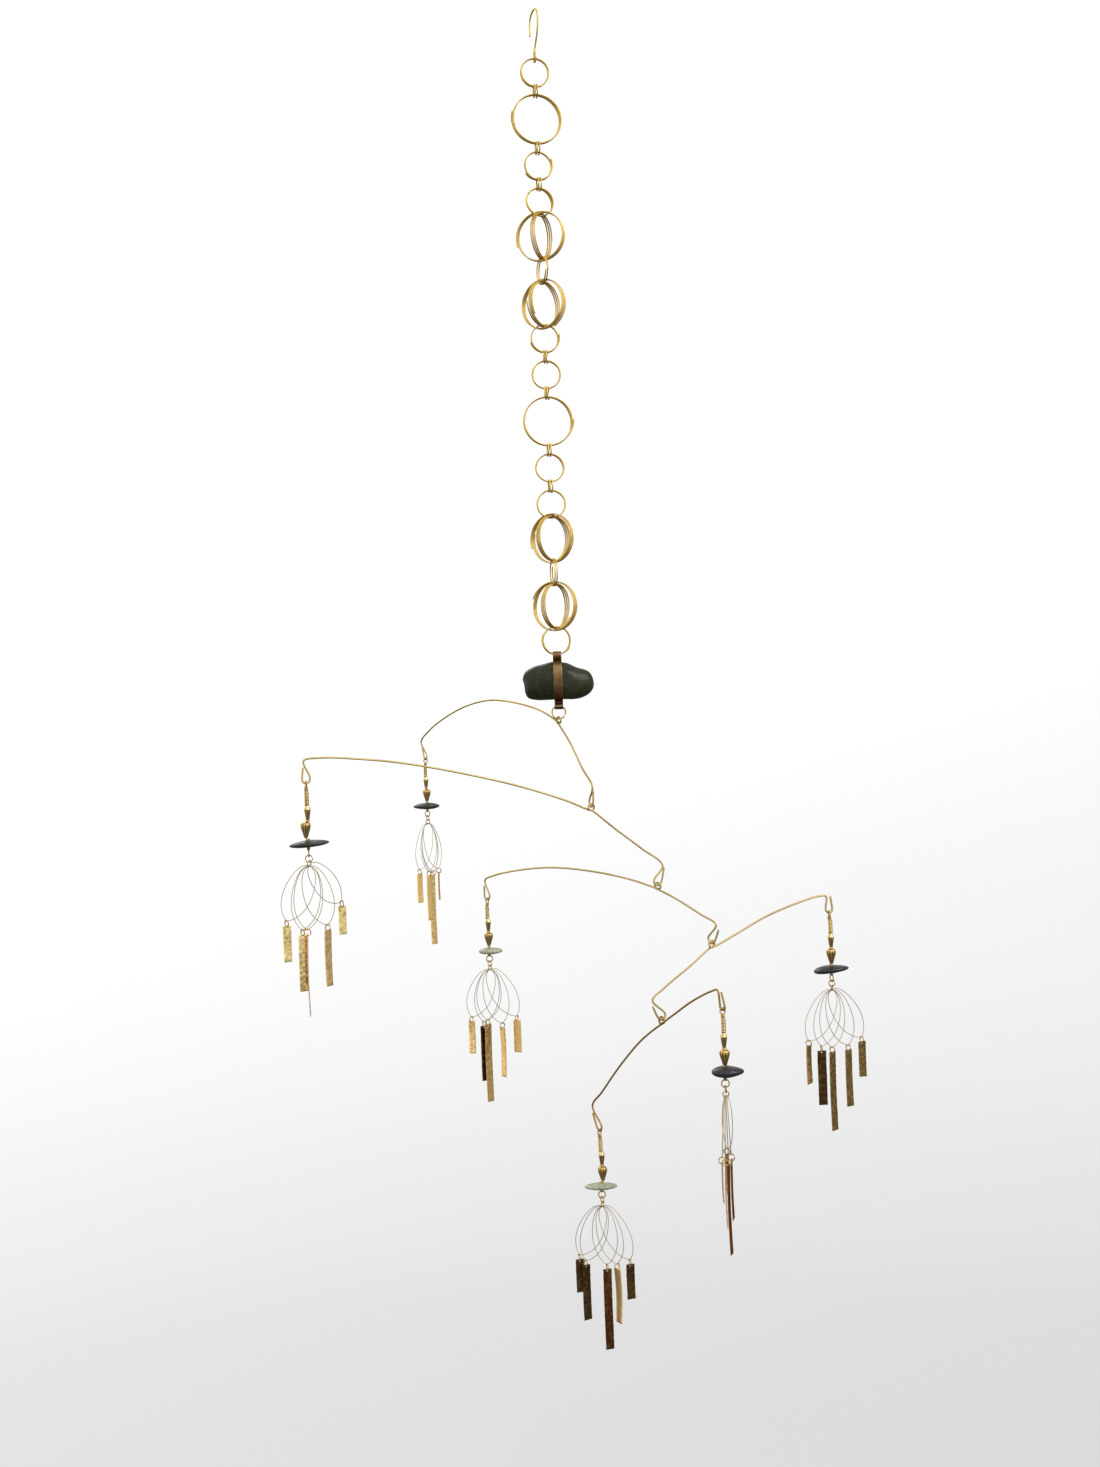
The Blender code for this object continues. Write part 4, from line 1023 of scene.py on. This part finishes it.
def make_fringe(name, letter, bearing, ring_yaw, fan, last_turn):
    """Gather ring, five hoops, five jump rings and five strips."""
    wire = 0.5 * FINE_RING_WIRE
    gather = bearing - (GATHER_RADIUS - wire - GAP) * UP
    ring_piece(name + "_gather_ring", gather, GATHER_RADIUS, ring_yaw, FINE_RING_WIRE, 330.0, 0.08 * MM,
               36, 10, "chain_brass", name + "_fringe")
    for order, (swing, reach, yaw, length, finish, bow, twist) in enumerate(FRINGES[letter], 1):
        turned = last_turn if order == 5 else 0.0
        place = THREADED.get(letter, range(1, 6))[order - 1]
        path = hoop_line(gather, fan, turned, place - 3, swing, reach * MM)
        foot = path[0]
        wire_piece(f"{name}_hoop_{order}", path, HOOP_WIRE, 8, "hoop", "stem_brass", closed=True,
                   across=side_of(fan + turned))
        ring_top = foot.z + 0.5 * HOOP_WIRE + 0.5 * JUMP_WIRE
        centre = Vector((foot.x, foot.y, ring_top - JUMP_RADIUS))
        ring_piece(f"{name}_jump_{order}", centre, JUMP_RADIUS, yaw + 90.0, JUMP_WIRE, 40.0 + 60.0 * order,
                   0.1 * MM, 36, 10, "chain_brass")
        strip_top = ring_top - 2 * JUMP_RADIUS + 0.5 * JUMP_WIRE + HOLE_DROP - HOLE_RADIUS
        strip_bottom = foot.z - CAD_STRIP_DROP - length * MM
        top = Vector((foot.x, foot.y, strip_top))
        seed = 10 * ord(letter) + order
        make_strip(f"{name}_strip_{order}", top, yaw, strip_top - strip_bottom, finish, bow, twist, seed)


def make_pendant(letter, top, eye_yaw, ring_yaws, stone, sway, fan, last_turn):
    name = "pendant_" + letter
    make_stone(name, letter, top, stone)
    loop = make_stem(name, top, eye_yaw, ring_yaws[0], stone[2] * MM, sway)
    link = make_link(name, loop, ring_yaws[1])
    make_fringe(name, letter, link, ring_yaws[2], fan, last_turn)


# ------ studio

def set_camera():
    camera = bpy.data.cameras.new("camera")
    camera.lens = CAMERA_LENS
    camera.sensor_width = 36.0
    camera.clip_end = 50.0
    holder = add_object("camera", camera)
    holder.location = CAMERA_PLACE
    holder.rotation_euler = [math.radians(a) for a in CAMERA_TURN]
    bpy.context.scene.camera = holder
    bpy.context.scene.view_settings.view_transform = "Standard"


def paper():
    """Self-lit paper, darker towards its floor and its right."""
    mat = bpy.data.materials.new("studio_paper")
    mat.use_nodes = True
    tree = mat.node_tree
    tree.nodes.remove(tree.nodes["Principled BSDF"])
    glow = tree.nodes.new("ShaderNodeEmission")
    place = parted(tree, "Object")
    span = maths(tree, "SUBTRACT", 1.0, maths(tree, "DIVIDE", place["Z"], FLOOR_HEIGHT))
    shade = ramp(tree, span, [(1.0 - z / FLOOR_HEIGHT, grey / FLOOR_GLOW) for z, grey in FLOOR_SHADE])
    across = plus(tree, 1.0, place["X"], -0.04)
    tree.links.new(mixed(tree, 1.0, shade, across, "MULTIPLY"), glow.inputs["Color"])
    glow.inputs["Strength"].default_value = FLOOR_GLOW
    tree.links.new(glow.outputs["Emission"], tree.nodes["Material Output"].inputs["Surface"])
    return mat


def make_floor():
    """A pale paper floor that turns up into a wall all round. Only the camera sees it."""
    profile = [(1.0, FLOOR_HEIGHT), (2.0, FLOOR_HEIGHT + 0.02)]
    profile += arc(FLOOR_BEND_MIDDLE, FLOOR_BEND, -90.0, 0.0, 12)[1:] + [(4.8, 2.4), (4.8, 4.5)]
    bm = bmesh.new()
    rings = []
    for radius, height in profile:
        spots = [radius * direction(360.0 * k / 96) + height * UP for k in range(96)]
        rings.append([bm.verts.new(spot) for spot in spots])
    bridge(bm, rings)
    bm.faces.new(rings[0])
    floor = add_object("studio_floor", finished_mesh("studio_floor", bm, paper()))
    floor.visible_diffuse = False
    floor.visible_glossy = False
    floor.visible_transmission = False
    floor.visible_shadow = False


def make_sky():
    """Soft light, stronger from above and from the front."""
    world = bpy.data.worlds.new("studio_light")
    bpy.context.scene.world = world
    world.use_nodes = True
    tree = world.node_tree
    way = parted(tree, "Generated")
    sky = ramp(tree, plus(tree, 0.5, way["Z"], 0.5), SKY_HEIGHT)
    facing = ramp(tree, plus(tree, 0.5, way["Y"], -0.5), SKY_FRONT)
    glow = tree.nodes["Background"]
    tree.links.new(mixed(tree, 1.0, sky, facing, "MULTIPLY"), glow.inputs["Color"])
    glow.inputs["Strength"].default_value = SKY_GLOW


def make_lamps():
    for name, (place, aim, size, power) in LAMPS.items():
        light = bpy.data.lights.new(name, "AREA")
        light.size = size
        light.energy = power
        lamp = add_object(name, light)
        lamp.location = place
        lamp.rotation_euler = (Vector(aim) - Vector(place)).to_track_quat("-Z", "Y").to_euler()
        lamp.visible_camera = False


# ------ whole object

def build():
    make_hook()
    for ring, yaw, cut in RINGS:
        make_wound_ring("chain_" + ring, yaw, cut)
    bearing = Vector((FIRST_ARM_OFFSET, 0.0, make_strapped_pebble() + GAP))
    hooks = {}
    for name, (heading, long, short) in ARMS.items():
        hooks[name, "long"], hooks[name, "short"] = make_arm(name, heading, long, short, bearing)
        bearing = hooks[name, "short"] + SEAT * UP
    for letter, (hook, *spec) in PENDANTS.items():
        make_pendant(letter, hooks[hook] + GAP * UP, *spec)


set_camera()
make_floor()
make_sky()
make_lamps()
build()
